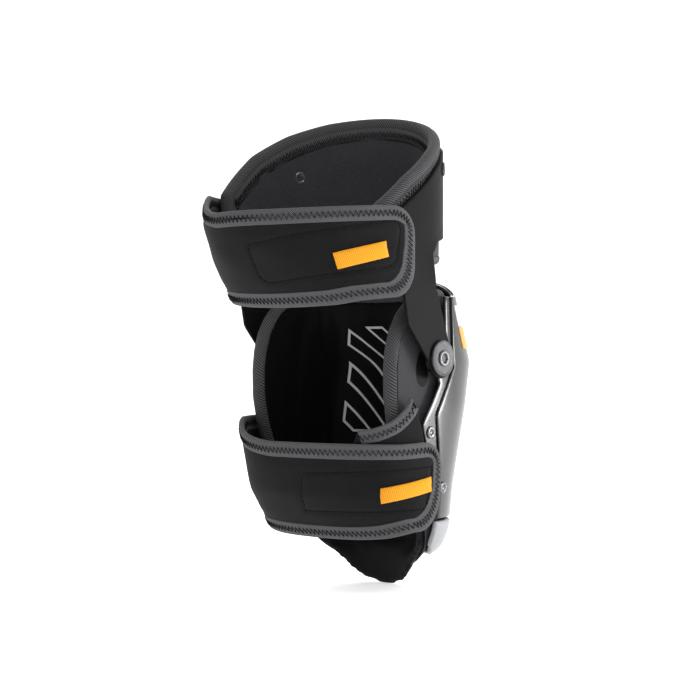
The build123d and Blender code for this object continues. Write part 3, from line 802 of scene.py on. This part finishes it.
def thigh_end(height_at, tilt):
    """Upper or lower end of a thigh panel as a function of the fraction across."""
    def end(share):
        point = thigh_plan((2 * share - 1) * thigh_rear)
        return height_at(point[:, 1]) + tilt * point[:, 0]
    return end


def thigh_rivet_place(x):
    """Where along the front half of the loop a given x lies."""
    line = thigh_plan(thigh_wrap.along)
    ahead = line[:, 1] < 0.043
    order = np.argsort(line[ahead, 0])
    return float(np.interp(x, line[ahead, 0][order], thigh_wrap.along[ahead][order]))


def thigh_swell(along, up, away):
    """The lining is plump between its rivets and the rim."""
    rise = np.clip((away - 0.017) / 0.022, 0, 1)
    dimple = np.zeros_like(up)
    for x, z in THIGH_RIVETS:
        spot = thigh_rivet_place(x)
        dimple += np.exp(-(((along - spot) ** 2 + (up - z) ** 2) / 0.011**2))
    return np.zeros_like(up), 0.0030 * rise * (2 - rise) - 0.0036 * np.clip(dimple, 0, 1)


thigh_grid = panel_grid(
    level(-thigh_rear), level(thigh_rear),
    thigh_end(thigh_low, 0.0), thigh_end(rim_height, RIM_TILT), 0.0045,
)
thigh_pad = slab(
    "thigh_pad", thigh_wrap, thigh_grid, THIGH_OUT, THIGH_IN, 0.0045, bulge=thigh_swell
)
thigh_border = border_path(thigh_grid)


def thigh_band(name, section, path=thigh_border):
    return band(name, thigh_wrap, path, THIGH_MIDDLE, section)


thigh_rim_tape = joined("thigh_rim_tape", [
    thigh_band("tape_in", flat_section(0.008, 0.0180, -0.0116, -0.0134)),
    thigh_band("tape_out", flat_section(0.008, 0.0165, -0.0042, -0.0031)),
])
thigh_rim = thigh_band("thigh_rim_binding", roll_section(0.0105, THIGH_OUT, THIGH_IN, 0.0012))
thigh_low_path = np.column_stack([thigh_grid[0][0], thigh_grid[1][0]])
hem_section = tape_section(0.007, THIGH_OUT, THIGH_IN, 0.0006)
thigh_hem = thigh_band("thigh_hem_tape", hem_section, thigh_low_path)
rim_zigzag = threads("thigh_rim_zigzag", thigh_wrap, [
    zigzag(thigh_border, THIGH_MIDDLE, 0.0138, 0.0046, -0.0137),
    zigzag(thigh_border, THIGH_MIDDLE, 0.0130, 0.0042, -0.0029),
])
rim_seam_runs = dashes(thigh_border, THIGH_MIDDLE, 0.0192, 0.0034, 0.0008, -0.0130)
rim_seam = threads("thigh_lining_seam", thigh_wrap, rim_seam_runs, 0.0006)

# ---- thigh shell with its arms ----
shell_top = curve([(-90, 208), (-40, 196), (0, 176), (46, 148), (70, 132)])
arm_rear_y = curve([(-4, 17), (29, 47.5), (59, 54), (78, 60), (160, 60)])
arm_front_y = curve([(12, -12.5), (54, 3.6), (60, 6.5), (88, 8), (112, 8)])
arch = curve([(-120, 107), (-35, 107), (-5, 101), (8, 90)])
ARM_RADIUS, ARM_JOIN = 0.0175, 0.090


def arm_edges(up):
    """Front and rear y of an arm at a height, with its round lower end."""
    bow = np.sqrt(np.clip(ARM_RADIUS**2 - up**2, 0, None))
    front = np.where(up > 0.012, arm_front_y(up), -bow)
    rear = np.where(up > -0.004, arm_rear_y(up), bow)
    return front, rear


def along_of_y(y):
    """Along of the thigh loop for a y, on the -X side."""
    half = thigh_wrap.along[thigh_wrap.along >= 0]
    return np.interp(y, thigh_plan(half)[:, 1], half)


def thigh_shell_grid():
    """One grid for the shell and both arms: arm columns at both ends, front columns between."""
    arm_share = crowded(13, 0.04)
    front_share = np.linspace(0, 1, 62)[1:-1]
    upper = crowded(20, 0.02)
    round_end = -ARM_RADIUS * np.cos(np.linspace(0.05, pi / 2, 9))
    lower_up = np.concatenate([round_end, np.linspace(0.004, ARM_JOIN, 24)[:-1]])
    rear_along, front_along = along_of_y(0.060), along_of_y(0.008)
    columns = np.concatenate([
        -rear_along + (rear_along - front_along) * arm_share,
        -front_along + 2 * front_along * front_share,
        front_along + (rear_along - front_along) * arm_share,
    ])
    x, y, _ = thigh_plan(columns).T
    ends = len(arm_share)
    is_arm = np.zeros(len(columns), bool)
    is_arm[:ends] = is_arm[-ends:] = True
    low = np.where(is_arm, ARM_JOIN, arch(y))
    high = shell_top(y) + RIM_TILT * x
    up_rows = low[None, :] + (high - low)[None, :] * upper[:, None]
    along_rows = np.broadcast_to(columns, up_rows.shape)
    low_up = np.broadcast_to(lower_up[:, None], (len(lower_up), len(columns))).copy()
    low_along = np.broadcast_to(columns, low_up.shape).copy()
    for row, height in enumerate(lower_up):
        near, far = (along_of_y(y) for y in arm_edges(np.array(height)))
        low_along[row, -ends:] = near + (far - near) * arm_share
        low_along[row, :ends] = -(far + (near - far) * arm_share)
    mask = np.ones((len(lower_up) + len(upper) - 1, len(columns) - 1), bool)
    mask[: len(lower_up), ends - 1 : -(ends - 1)] = False
    return (np.concatenate([low_along, along_rows]), np.concatenate([low_up, up_rows])), mask


shell_grid, shell_mask = thigh_shell_grid()
thigh_shell = slab("thigh_hard_shell", arm_wrap, shell_grid, 0.0, -0.0030, 0.0012, mask=shell_mask)

# ---- knee shell ----
facet_y = curve([(20, -104.3), (-112, -67.65), (-126, -80), (-160, -110)])
DOME_LOW = -0.1405
dome_rear = curve([(-142, -12), (-90, -6), (-48, 2), (-8, -24), (12, -22), (54, -22)])
flange_rear = curve([
    (-142, -12), (-115, -2), (-88, 7), (-75, 13), (-57, 19.5), (-21, -5), (-12, 2), (8, -12),
    (14, -13), (54, -13),
])
cap_top_edge = curve([(-130, 76), (-62, 74), (-56, 70.6), (-41, 55.5), (-22, 54), (0, 54)])


class Faceted(Wrap):
    """The cap's surface, cut by the flat kneeling facet."""

    def place(self, along, up, lift=0.0):
        point = super().place(along, up, lift)
        over = facet_y(point[..., 2]) - point[..., 1]
        point[..., 1] += np.where((over > 0) & (point[..., 2] < 0.02), over * 0.9, 0.0)
        return point


cap_face = Faceted(centred(CAP_LEVELS), 2.5, True, straight=0.1)


def cap_panel(name, rear_at, outside, inside):
    """Panel of the cap between its rear edges, its top following a curve of y."""
    rear = edge_table(cap, rear_at, 1, DOME_LOW, 0.058)
    widest = rear(0.05)

    def top(share):
        return edge_up(cap, np.abs(2 * share - 1) * widest, cap_top_edge, 0.06)

    grid = panel_grid(lambda up: -rear(up), rear, level(DOME_LOW), top, 0.0012)
    return slab(name, cap_face, grid, outside, inside, 0.0012)


knee_flange = cap_panel("knee_flange", flange_rear, -0.0020, -0.0050)
knee_dome = cap_panel("knee_dome", dome_rear, 0.0, -0.0028)


def ear(side):
    """Round ear of the flange behind a pivot."""
    hole, radius, thick = 0.0045, 0.0140, 0.0030
    profile = [(radius, thick), (radius, 0.0010), (0.0128, 0.0), (hole, 0.0), (hole, thick)]
    name = f"knee_ear_{'near' if side < 0 else 'far'}"
    return lathe(name, profile, (side * 0.0900, 0, 0), (-side, 0, 0))


def lip_panel():
    """Grid of the lower lip, which reaches further back on the near side."""
    near = edge_table(lip_wrap, level(-0.011), 1, -0.178, -0.142)
    far = edge_table(lip_wrap, level(-0.040), -1, -0.178, -0.142)

    def low(share):
        return -0.1775 + 0.012 * np.abs(2 * share - 1) ** 7

    return panel_grid(far, near, low, level(-0.1432), 0.002)


shin_lip = slab("shin_lip_shell", lip_wrap, lip_panel(), 0.0, -0.0046, 0.0020)


def badge(name, low, high):
    """Plain band across the upper front of the dome."""
    rear = abs(float(cap.along_at(-0.034, 0.028, 1)))
    grid = panel_grid(level(-rear), level(rear), level(low), level(high), 0.0006)
    return slab(name, cap_face, grid, 0.0009, -0.0006, 0.0006)


badge_light_band = badge("badge_light_strip", 0.028, 0.0465)
badge_amber_band = badge("badge_amber_strip", 0.0085, 0.0274)

# ---- straps ----
STRAP, TAPE_PROUD, TIP = 0.0036, 0.0006, 0.026


def strap_edges(wrap, near_y, far_y, low_near, high_near, low_far, high_far, low, high):
    """Functions for a strap's panel: side edges by height, ends by the fraction across, which
    runs from the far seam (0) to the near tip (1), whose corners are round."""
    far = edge_table(wrap, far_y, -1, low, high)
    near = edge_table(wrap, near_y, 1, low, high)
    middle = (low + high) / 2
    reach_far, reach_near = float(far(middle)), float(near(middle))

    def end(near_at, far_at, sign):
        def height(share):
            place = reach_far + (reach_near - reach_far) * share
            guess = middle - sign * (high - low) / 2
            flat = np.where(
                place > 0, edge_up(wrap, place, near_at, guess), edge_up(wrap, place, far_at, guess)
            )
            back = np.clip(1 - (reach_near - place) / TIP, 0, 1)
            return flat + sign * TIP * (1 - np.sqrt(1 - back**2))
        return height

    return far, near, end(low_near, low_far, 1), end(high_near, high_far, -1)


def groove(along, up, run):
    """How deep the cloth is drawn in beside a line of stitching, 0 to 1."""
    far = np.full(up.shape, 1.0)
    for spot in resample(run, 0.0012):
        far = np.minimum(far, np.hypot(along - spot[0], up - spot[1]))
    return np.exp(-((far / 0.0016) ** 2))


def tab_grid(start, end, lean, width=0.0122, edge=0.0006):
    """Grid of a straight webbing tab between two (along, up) points; lean skews its ends."""
    start, end = np.array(start), np.array(end)
    way = (end - start) / np.linalg.norm(end - start)
    square = np.array([-way[1], way[0]])
    length = float(np.linalg.norm(end - start))
    run = crowded(max(6, int(length / 0.003)), edge / length)
    across = crowded(6, edge / width)
    over = (across[:, None, None] - 0.5) * width
    spots = start + run[None, :, None] * length * way + over * (square + lean * way)
    return spots[..., 0], spots[..., 1]


def tab_puff(along, up, away):
    """The webbing's face, plump and a little frayed."""
    rise = np.clip(away / 0.005, 0, 1)
    fray = 0.00025 * np.sin(along * 1900) * np.sin(up * 1300 + 1)
    return 0.0010 * rise * (2 - rise) + fray, np.zeros_like(up)


def rounded_box(corners, radii):
    """Closed flat path round corner points, each corner rounded by its own radius."""
    corners = [np.array(c, float) for c in corners]
    path = []
    for k, (corner, radius) in enumerate(zip(corners, radii)):
        before, after = corners[k - 1], corners[(k + 1) % len(corners)]
        a = corner + (before - corner) / np.linalg.norm(before - corner) * radius
        b = corner + (after - corner) / np.linalg.norm(after - corner) * radius
        for t in np.linspace(0, 1, 7):
            path.append(a * (1 - t) ** 2 + corner * 2 * t * (1 - t) + b * t**2)
    return resample(path + path[:1], 0.001)


def hook_patch(name, wrap, corners):
    """Hook tape on the inner face of a strap."""
    (low_start, low_back), (near, low_near), (_, high_near), (high_start, high_back) = corners
    grid = panel_grid(
        level(max(low_start, high_start)),
        level(near),
        lambda share: low_back + (low_near - low_back) * share,
        lambda share: high_back + (high_near - high_back) * share,
        0.0007,
    )
    return slab(name, wrap, grid, -STRAP - 0.0001, -STRAP - 0.0012, 0.0007)


def strap_set(name, wrap, edges, corners, radii, ripple, tab):
    """Every piece of one strap, finished: neoprene, binding, hook tape, stitching and pull tab.

    corners and radii outline the hook patch; tab is the pull tab's grid.
    """
    part = name.split("_")[0]
    grid = panel_grid(*edges, 0.0018, 0.0017)
    outline = rounded_box(corners, radii)

    def swell(along, up, away):
        puff = np.clip((away - 0.0125) / 0.008, 0, 1)
        wrinkle = ripple(along, up) * puff
        drawn_in = 0.0010 * np.clip(groove(along, up, outline), 0, 1)
        return 0.0008 * puff + wrinkle - drawn_in, 0.0004 * puff - wrinkle

    body = slab(f"{name}_neoprene", wrap, grid, 0.0, -STRAP, 0.0018, bulge=swell)
    along, up = grid
    upper = np.column_stack([along[-1], up[-1]])
    tip = np.column_stack([along[:, -1], up[:, -1]])[::-1]
    lower = np.column_stack([along[0], up[0]])[::-1]
    path = np.concatenate([upper[:-1], tip[:-1], lower])
    centre = (0.0, float(up.mean()))
    section = tape_section(0.0125, 0.0, -STRAP, TAPE_PROUD)
    tape = band(f"{name}_binding", wrap, path, centre, section)
    lifts = (TAPE_PROUD + 0.0004, -STRAP - TAPE_PROUD - 0.0004)
    edge_runs = [zigzag(path, centre, 0.0066, 0.0050, lift) for lift in lifts]
    patch_runs = dashes(outline, np.mean(outline, axis=0), 0.0, 0.0028, 0.0012, 0.0006)
    stitches = threads(f"{name}_patch_stitches", wrap, patch_runs, 0.0004)
    hooks = hook_patch(f"{part}_hook_tape", wrap, corners)
    pull = slab(f"{name}_pull_tab", wrap, tab, 0.0030, 0.0010, 0.0009, bulge=tab_puff)
    return [
        finish_piece(body, neoprene, name, [name]),
        finish_piece(tape, edge_webbing, name, [f"{name}_edge_tape"]),
        finish_piece(hooks, hook_tape, name, [f"{part}_hook_patch"]),
        finish_piece(threads(f"{name}_zigzag", wrap, edge_runs), thread_black, name),
        finish_piece(stitches, thread_black, name),
        finish_piece(pull, amber_webbing, name, [f"{part}_pull_tab"]),
    ]


def near_on(wrap):
    """Function that gives where along a strap's near side a given y lies at a height."""
    return lambda y, up: float(wrap.along_at(y, up, 1))


thigh_near, shin_near = near_on(thigh_strap_wrap), near_on(shin_strap_wrap)


thigh_strap_pieces = strap_set(
    "thigh_strap",
    thigh_strap_wrap,
    strap_edges(
        thigh_strap_wrap, level(0.046), level(0.062),
        curve([(46, 51), (75, 48), (90, 44.5), (106, 42.5)]),
        curve([(46, 130), (152, 122.5)]),
        curve([(62, 48), (106, 42.5)]),
        curve([(62, 143), (113, 143), (122, 139), (135, 131), (144, 126), (152, 122.5)]),
        0.040, 0.146,
    ),
    [(-0.006, 0.062), (thigh_near(0.066, 0.078), 0.077), (thigh_near(0.062, 0.114), 0.116),
     (0.001, 0.0945)],
    (0.016, 0.014, 0.014, 0.002),
    lambda along, up: 0.0006 * np.sin(along * 95 + up * 60) * np.sin(up * 80 + 1),
    tab_grid((thigh_near(0.1140, 0.084), 0.0810), (thigh_near(0.0785, 0.092), 0.0912), 0.40),
)
shin_seam_y = curve([(-165, -9.8), (-150, -5.5), (-52, 22.5), (-40, 26)])
strap_set(
    "shin_strap",
    shin_strap_wrap,
    strap_edges(
        shin_strap_wrap, level(0.001), shin_seam_y,
        curve([(1, -149), (25, -155), (55, -159.5), (90, -158)]),
        curve([(1, -70), (60, -73), (92, -72.5)]),
        curve([(-6, -150), (25, -155), (55, -159.5), (90, -158)]),
        curve([(22, -52), (58, -53), (66, -56), (78, -65), (92, -72.5)]),
        -0.160, -0.048,
    ),
    [(-0.004, -0.1325), (shin_near(0.020, -0.126), -0.1290), (shin_near(0.014, -0.094), -0.0925),
     (0.008, -0.0985)],
    (0.001, 0.004, 0.004, 0.001),
    lambda along, up: 0.0006 * np.sin(along * 80 - up * 50) * np.sin(up * 70),
    tab_grid((shin_near(0.0609, -0.114), -0.1155), (shin_near(0.0185, -0.107), -0.1072), 0.42),
)


def wing(part, body, wrap, top, low, back_y, near_y):
    """Loop-faced wing under a strap's near end, its stitched binding along the top."""
    name = f"{part}_wing_panel"
    back = edge_table(wrap, back_y, 1, low - 0.01, 0.14 + low)
    near = edge_table(wrap, near_y, 1, low - 0.01, 0.14 + low)
    peak = float(top(near_y(np.array([low + 0.08])))[0])
    first, last = float(back(peak)), float(near(peak))

    def high(share):
        return edge_up(wrap, first + (last - first) * share, top, peak)

    outside, inside = -0.0049, -0.0075
    grid = panel_grid(back, near, level(low), high, 0.0012, 0.0025)
    panel = slab(name, wrap, grid, outside, inside, 0.0012)
    path = np.column_stack([grid[0][-1], grid[1][-1]])
    centre = (float(grid[0].mean()), low)
    tape = band(f"{name}_binding", wrap, path, centre, tape_section(0.011, outside, inside, 0.0005))
    runs = [
        zigzag(path, centre, 0.006, 0.0044, lift) for lift in (outside + 0.0009, inside - 0.0009)
    ]
    finish_piece(panel, neoprene, body, [f"{part}_wing"])
    finish_piece(tape, edge_webbing, body)
    finish_piece(threads(f"{name}_zigzag", wrap, runs), thread_black, body)


wing(
    "shin", "knee", shin_strap_wrap,
    curve([(16, -45), (30, -38), (37, -33.5), (44, -41), (58, -53), (70, -60), (82, -64)]),
    -0.136, level(0.082), curve([(-140, 12), (-90, 16), (-62, 24), (-33, 38), (-20, 44)]),
)
wing(
    "thigh", "thigh", thigh_strap_wrap, curve([(79, 127.5), (132, 122)]), 0.056, level(0.131),
    level(0.0795),
)


def anchor(part, body, wrap, y_seam, y_end, low, high_at, margin):
    """Sewn end of a strap on the far side; margin is the span of heights it lies in."""
    seam, end = (edge_table(wrap, y_at, -1, *margin) for y_at in (y_seam, y_end))
    grid = panel_grid(end, seam, level(low), high_at, 0.0016)
    panel = slab(f"{part}_anchor_panel", wrap, grid, 0.0, -STRAP, 0.0016)
    finish_piece(panel, neoprene, body, [f"{part}_strap_anchor"])


anchor(
    "thigh", "thigh", thigh_strap_wrap, level(0.0614), level(0.040), 0.084,
    lambda share: 0.136 + 0.007 * share, (0.080, 0.146),
)
anchor(
    "shin", "knee", shin_strap_wrap, lambda up: shin_seam_y(up) - 0.001,
    curve([(-165, -12), (-150, -9), (-128, -20), (-112, -20), (-92, -2), (-56, 6), (-40, 8)]),
    -0.148, lambda share: -0.056 + 0.004 * share, (-0.150, -0.050),
)

# ---- rivets and pivots ----
def rivet_head(name, wrap, place, up, lift, sign, radius, height):
    """Round hollow rivet head on a wrap, with a rolled rim and a dimple; sign -1 faces the leg."""
    place, up = np.array([place]), np.array([up])
    shares = [(1, 0.45), (0.93, 0.85), (0.80, 1), (0.58, 1), (0.50, 0.82), (0.30, 0.30), (0, 0.22)]
    profile = [(radius, -0.0004)] + [(radius * r, height * h) for r, h in shares]
    normal = wrap.normal(place, up)[0] * sign
    return lathe(name, profile, wrap.place(place, up, lift)[0], normal, 40)


heads, caps = [], []
for k, (x, z) in enumerate(THIGH_RIVETS):
    spot = (thigh_wrap, thigh_rivet_place(x), z)
    heads.append(rivet_head(f"thigh_rivet_head_{k}", *spot, 0.0, 1, 0.0062, 0.0017))
    caps.append(rivet_head(f"thigh_rivet_cap_{k}", *spot, -0.0118, -1, 0.0062, 0.0022))
thigh_rivet_heads = joined("thigh_rivet_heads", heads)
thigh_rivet_caps = joined("thigh_rivet_inner_caps", caps)

heads = []
for k, (y, z, depth) in enumerate([(0.008, -0.064, 0.002), (-0.013, -0.113, 0.0)]):
    for side, wrap, lift in ((1, cap, -depth), (-1, shin_strap_wrap, 0.0)):
        spot = (wrap, float(wrap.along_at(y, z, side)), z)
        heads.append(rivet_head(f"flange_rivet_{k}_{side}", *spot, lift, 1, 0.0055, 0.0016))
flange_rivet_heads = joined("flange_rivet_heads", heads)

DISC_PROFILE = [
    (0.0052, 0.0), (0.0156, 0.0), (0.0160, 0.0004), (0.0160, 0.0017), (0.0155, 0.0023),
    (0.0147, 0.0025), (0.0139, 0.0022), (0.0132, 0.0021), (0.0090, 0.0022), (0.0052, 0.0022),
]
PIN_PROFILE = [
    (0.0039, -0.0060), (0.0039, 0.0018), (0.0068, 0.0018), (0.0070, 0.0026), (0.0067, 0.0036),
    (0.0058, 0.0040), (0.0046, 0.0039), (0.0040, 0.0034), (0.0036, 0.0022), (0.0034, -0.0010),
    (0, -0.0012),
]
for side, word in ((-1, "left"), (1, "right")):
    inner = min(abs(corner.x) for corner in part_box(f"pivot_disc_{word}"))
    spot = ((side * inner, 0, 0), (side, 0, 0))
    disc = lathe(f"pivot_disc_cap_{word}", DISC_PROFILE, *spot)
    pin = lathe(f"pivot_pin_head_{word}", PIN_PROFILE, *spot)
    finish_piece(disc, black_metal, "knee", [f"pivot_disc_{word}"])
    finish_piece(pin, pin_metal, "knee", [f"pivot_pin_{word}"])

# ---- cloth simulation of the two big pads ----
CLOTH_FRAMES, CLOTH_VOXEL, CLOTH_MASS, CLOTH_PRESSURE = 20, 0.0045, 0.3, 4.0
HELD, FREE = 0.009, 0.015  # from the border: held still up to the first, free from the second


def inflate(piece, wrap, grid, lift, most):
    """Puffs a pad by a cloth simulation; its border, which its binding grips, stays put."""
    pick(piece)
    remesh = piece.modifiers.new("even", "REMESH")
    remesh.mode, remesh.voxel_size = "VOXEL", CLOTH_VOXEL
    bpy.ops.object.modifier_apply(modifier=remesh.name)
    mesh = piece.data
    start = np.zeros(len(mesh.vertices) * 3)
    mesh.vertices.foreach_get("co", start)
    start = start.reshape(-1, 3)
    border = resample(whole_border(grid), 0.004)
    tree = KDTree(len(border))
    for k, spot in enumerate(wrap.place(border[:, 0], border[:, 1], lift)):
        tree.insert(spot, k)
    tree.balance()
    away = np.array([tree.find(p)[2] for p in start])
    group = piece.vertex_groups.new(name="held")
    for k, weight in enumerate(np.clip(1 - (away - HELD) / (FREE - HELD), 0, 1)):
        if weight > 0:
            group.add([k], float(weight), "REPLACE")
    cloth = piece.modifiers.new("cloth", "CLOTH")
    settings = cloth.settings
    settings.quality, settings.mass = 5, CLOTH_MASS
    settings.use_pressure, settings.uniform_pressure_force = True, CLOTH_PRESSURE
    settings.vertex_group_mass = group.name
    settings.effector_weights.gravity = 0
    cloth.collision_settings.use_collision = False
    for step in range(1, CLOTH_FRAMES + 1):
        bpy.context.scene.frame_set(step)
    bpy.context.view_layer.update()
    shown = piece.evaluated_get(bpy.context.evaluated_depsgraph_get()).to_mesh()
    after = np.zeros(len(start) * 3)
    shown.vertices.foreach_get("co", after)
    move = after.reshape(-1, 3) - start
    length = np.linalg.norm(move, axis=1, keepdims=True)
    move *= np.minimum(1, most / np.maximum(length, 1e-9))
    piece.modifiers.remove(cloth)
    mesh.vertices.foreach_set("co", (start + move).ravel())
    mesh.update()
    bpy.context.scene.frame_set(1)
    smooth = piece.modifiers.new("even", "SMOOTH")
    smooth.factor, smooth.iterations = 0.5, 3
    bpy.ops.object.modifier_apply(modifier=smooth.name)
    finer = piece.modifiers.new("finer", "SUBSURF")
    finer.levels = finer.render_levels = 1
    bpy.ops.object.modifier_apply(modifier=finer.name)
    piece.data.polygons.foreach_set("use_smooth", [True] * len(piece.data.polygons))


inflate(knee_pad, pad_wrap, pad_grid, 0.0, 0.003)
inflate(thigh_pad, thigh_wrap, thigh_grid, -0.008, 0.0022)

# ---- materials, bodies and the nodes that pieces stand for ----
knee_soft = ["knee_foam", "knee_liner", "gel_insert"]
finish_piece(knee_pad, knee_lining, "knee", knee_soft)
finish_piece(knee_side_cover, side_twill, "knee", ["knee_side_cover"])
finish_piece(knee_edge_binding, binding_twill, "knee", ["knee_edge_tape"])
knee_zigzag = threads("knee_edge_zigzag", pad_wrap, [pad_zigzag()], 0.00045)
finish_piece(knee_zigzag, thread_black, "knee")
finish_piece(knee_flange, hard_plastic, "knee", ["knee_shell"])
for piece in (knee_dome, ear(-1), ear(1)):
    finish_piece(piece, hard_plastic, "knee")
finish_piece(shin_lip, lip_plastic, "knee", ["shin_lip"])
finish_piece(badge_light_band, badge_white, "knee", ["badge_light_band"])
finish_piece(badge_amber_band, badge_amber, "knee", ["badge_amber_band"])
finish_piece(flange_rivet_heads, pin_metal, "knee", ["flange_rivets"])

finish_piece(thigh_pad, thigh_lining, "thigh", ["thigh_foam", "thigh_liner"])
finish_piece(thigh_rim, binding_twill, "thigh", ["thigh_rim_roll"])
finish_piece(thigh_hem, edge_webbing, "thigh")
finish_piece(thigh_rim_tape, binding_twill, "thigh")
finish_piece(rim_zigzag, thread_black, "thigh")
finish_piece(rim_seam, thread_black, "thigh")
finish_piece(thigh_shell, matt_plastic, "thigh", ["thigh_shell"])
finish_piece(thigh_rivet_heads, black_metal, "thigh", ["thigh_rivets"])
finish_piece(thigh_rivet_caps, pin_metal, "thigh", ["thigh_rivet_caps"])

for piece in thigh_strap_pieces:
    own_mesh(piece)

for node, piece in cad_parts.items():
    if piece.hide_render:
        continue
    piece.data.materials.clear()
    piece.data.materials.append(bush_plastic if "bush" in node else black_metal)


# ---- floor, light and camera ----
VIEW_AWAY = Vector((0.6293, -0.7771, 0))  # level direction from the camera to the object
VIEW_SIDE = Vector((0.7771, 0.6293, 0))


def sweep():
    """Floor that curves up into a backdrop, far behind the object."""
    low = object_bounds()[0][2]
    near, bend, radius, far, top, half_width = -6.0, 2.2, 1.5, 3.7, 6.0, 7
    profile = [(near, 0.0), (bend, 0.0)]
    for a in np.linspace(0.1, pi / 2, 12):
        profile.append((bend + radius * sin(a), radius * (1 - cos(a))))
    profile.append((far, top))
    points = [
        tuple(VIEW_AWAY * run + VIEW_SIDE * wide + Vector((0, 0, low + rise)))
        for run, rise in profile
        for wide in (-half_width, half_width)
    ]
    faces = [[2 * k, 2 * k + 1, 2 * k + 3, 2 * k + 2] for k in range(len(profile) - 1)]
    floor = mesh_object("studio_floor", points, faces)
    glow = {"Emission_Color": (1, 1, 1, 1), "Emission_Strength": 0.55}
    paint = Paint("studio_white", Roughness=0.9, **glow)
    paint.colour(paint.noise(3), (0.90, 0.90, 0.905), (0.93, 0.93, 0.93))
    floor.data.materials.append(paint.material)


def area_light(name, place, target, size, power):
    data = bpy.data.lights.new(name, "AREA")
    data.shape, data.size, data.energy = "SQUARE", size, power
    lamp = bpy.data.objects.new(name, data)
    lamp.location = place
    lamp.rotation_euler = (Vector(target) - Vector(place)).to_track_quat("-Z", "Y").to_euler()
    bpy.context.scene.collection.objects.link(lamp)


def studio_world():
    """White surroundings, dimmer on the side that the camera looks from."""
    world = bpy.data.worlds.new("studio")
    bpy.context.scene.world = world
    world.use_nodes = True
    sky = world.node_tree
    background = sky.nodes["Background"]
    direction = sky.nodes.new("ShaderNodeTexCoord")
    facing = sky.nodes.new("ShaderNodeVectorMath")
    facing.operation = "DOT_PRODUCT"
    facing.inputs[1].default_value = (VIEW_AWAY.x, VIEW_AWAY.y, 0.1)
    fade = sky.nodes.new("ShaderNodeMapRange")
    fade.interpolation_type = "SMOOTHSTEP"
    limits = {"From Min": -0.5, "From Max": 0.6, "To Min": 0.42, "To Max": 1.0}
    for socket, value in limits.items():
        fade.inputs[socket].default_value = value
    sky.links.new(direction.outputs["Generated"], facing.inputs[0])
    sky.links.new(facing.outputs["Value"], fade.inputs["Value"])
    sky.links.new(fade.outputs["Result"], background.inputs["Strength"])
    background.inputs["Color"].default_value = (1, 1, 1, 1)


sweep()
studio_world()
area_light("key", (-1.9, 0.9, 2.3), (0, 0, 0.02), 1.3, 34)
area_light("side", (-1.05, -0.85, -0.10), (0, -0.05, -0.09), 0.45, 16)
area_light("rim", (1.4, -1.4, 1.5), (0, 0, 0.1), 1.2, 26)

camera_data = bpy.data.cameras.new("camera")
camera_data.lens, camera_data.sensor_width = 85.7, 36
camera = bpy.data.objects.new("camera", camera_data)
camera.location = (-0.9395, 1.1693, 0.0072)
camera.rotation_euler = (radians(90), 0, radians(219))
bpy.context.scene.collection.objects.link(camera)
bpy.context.scene.camera = camera
bpy.context.scene.view_settings.view_transform = "Standard"
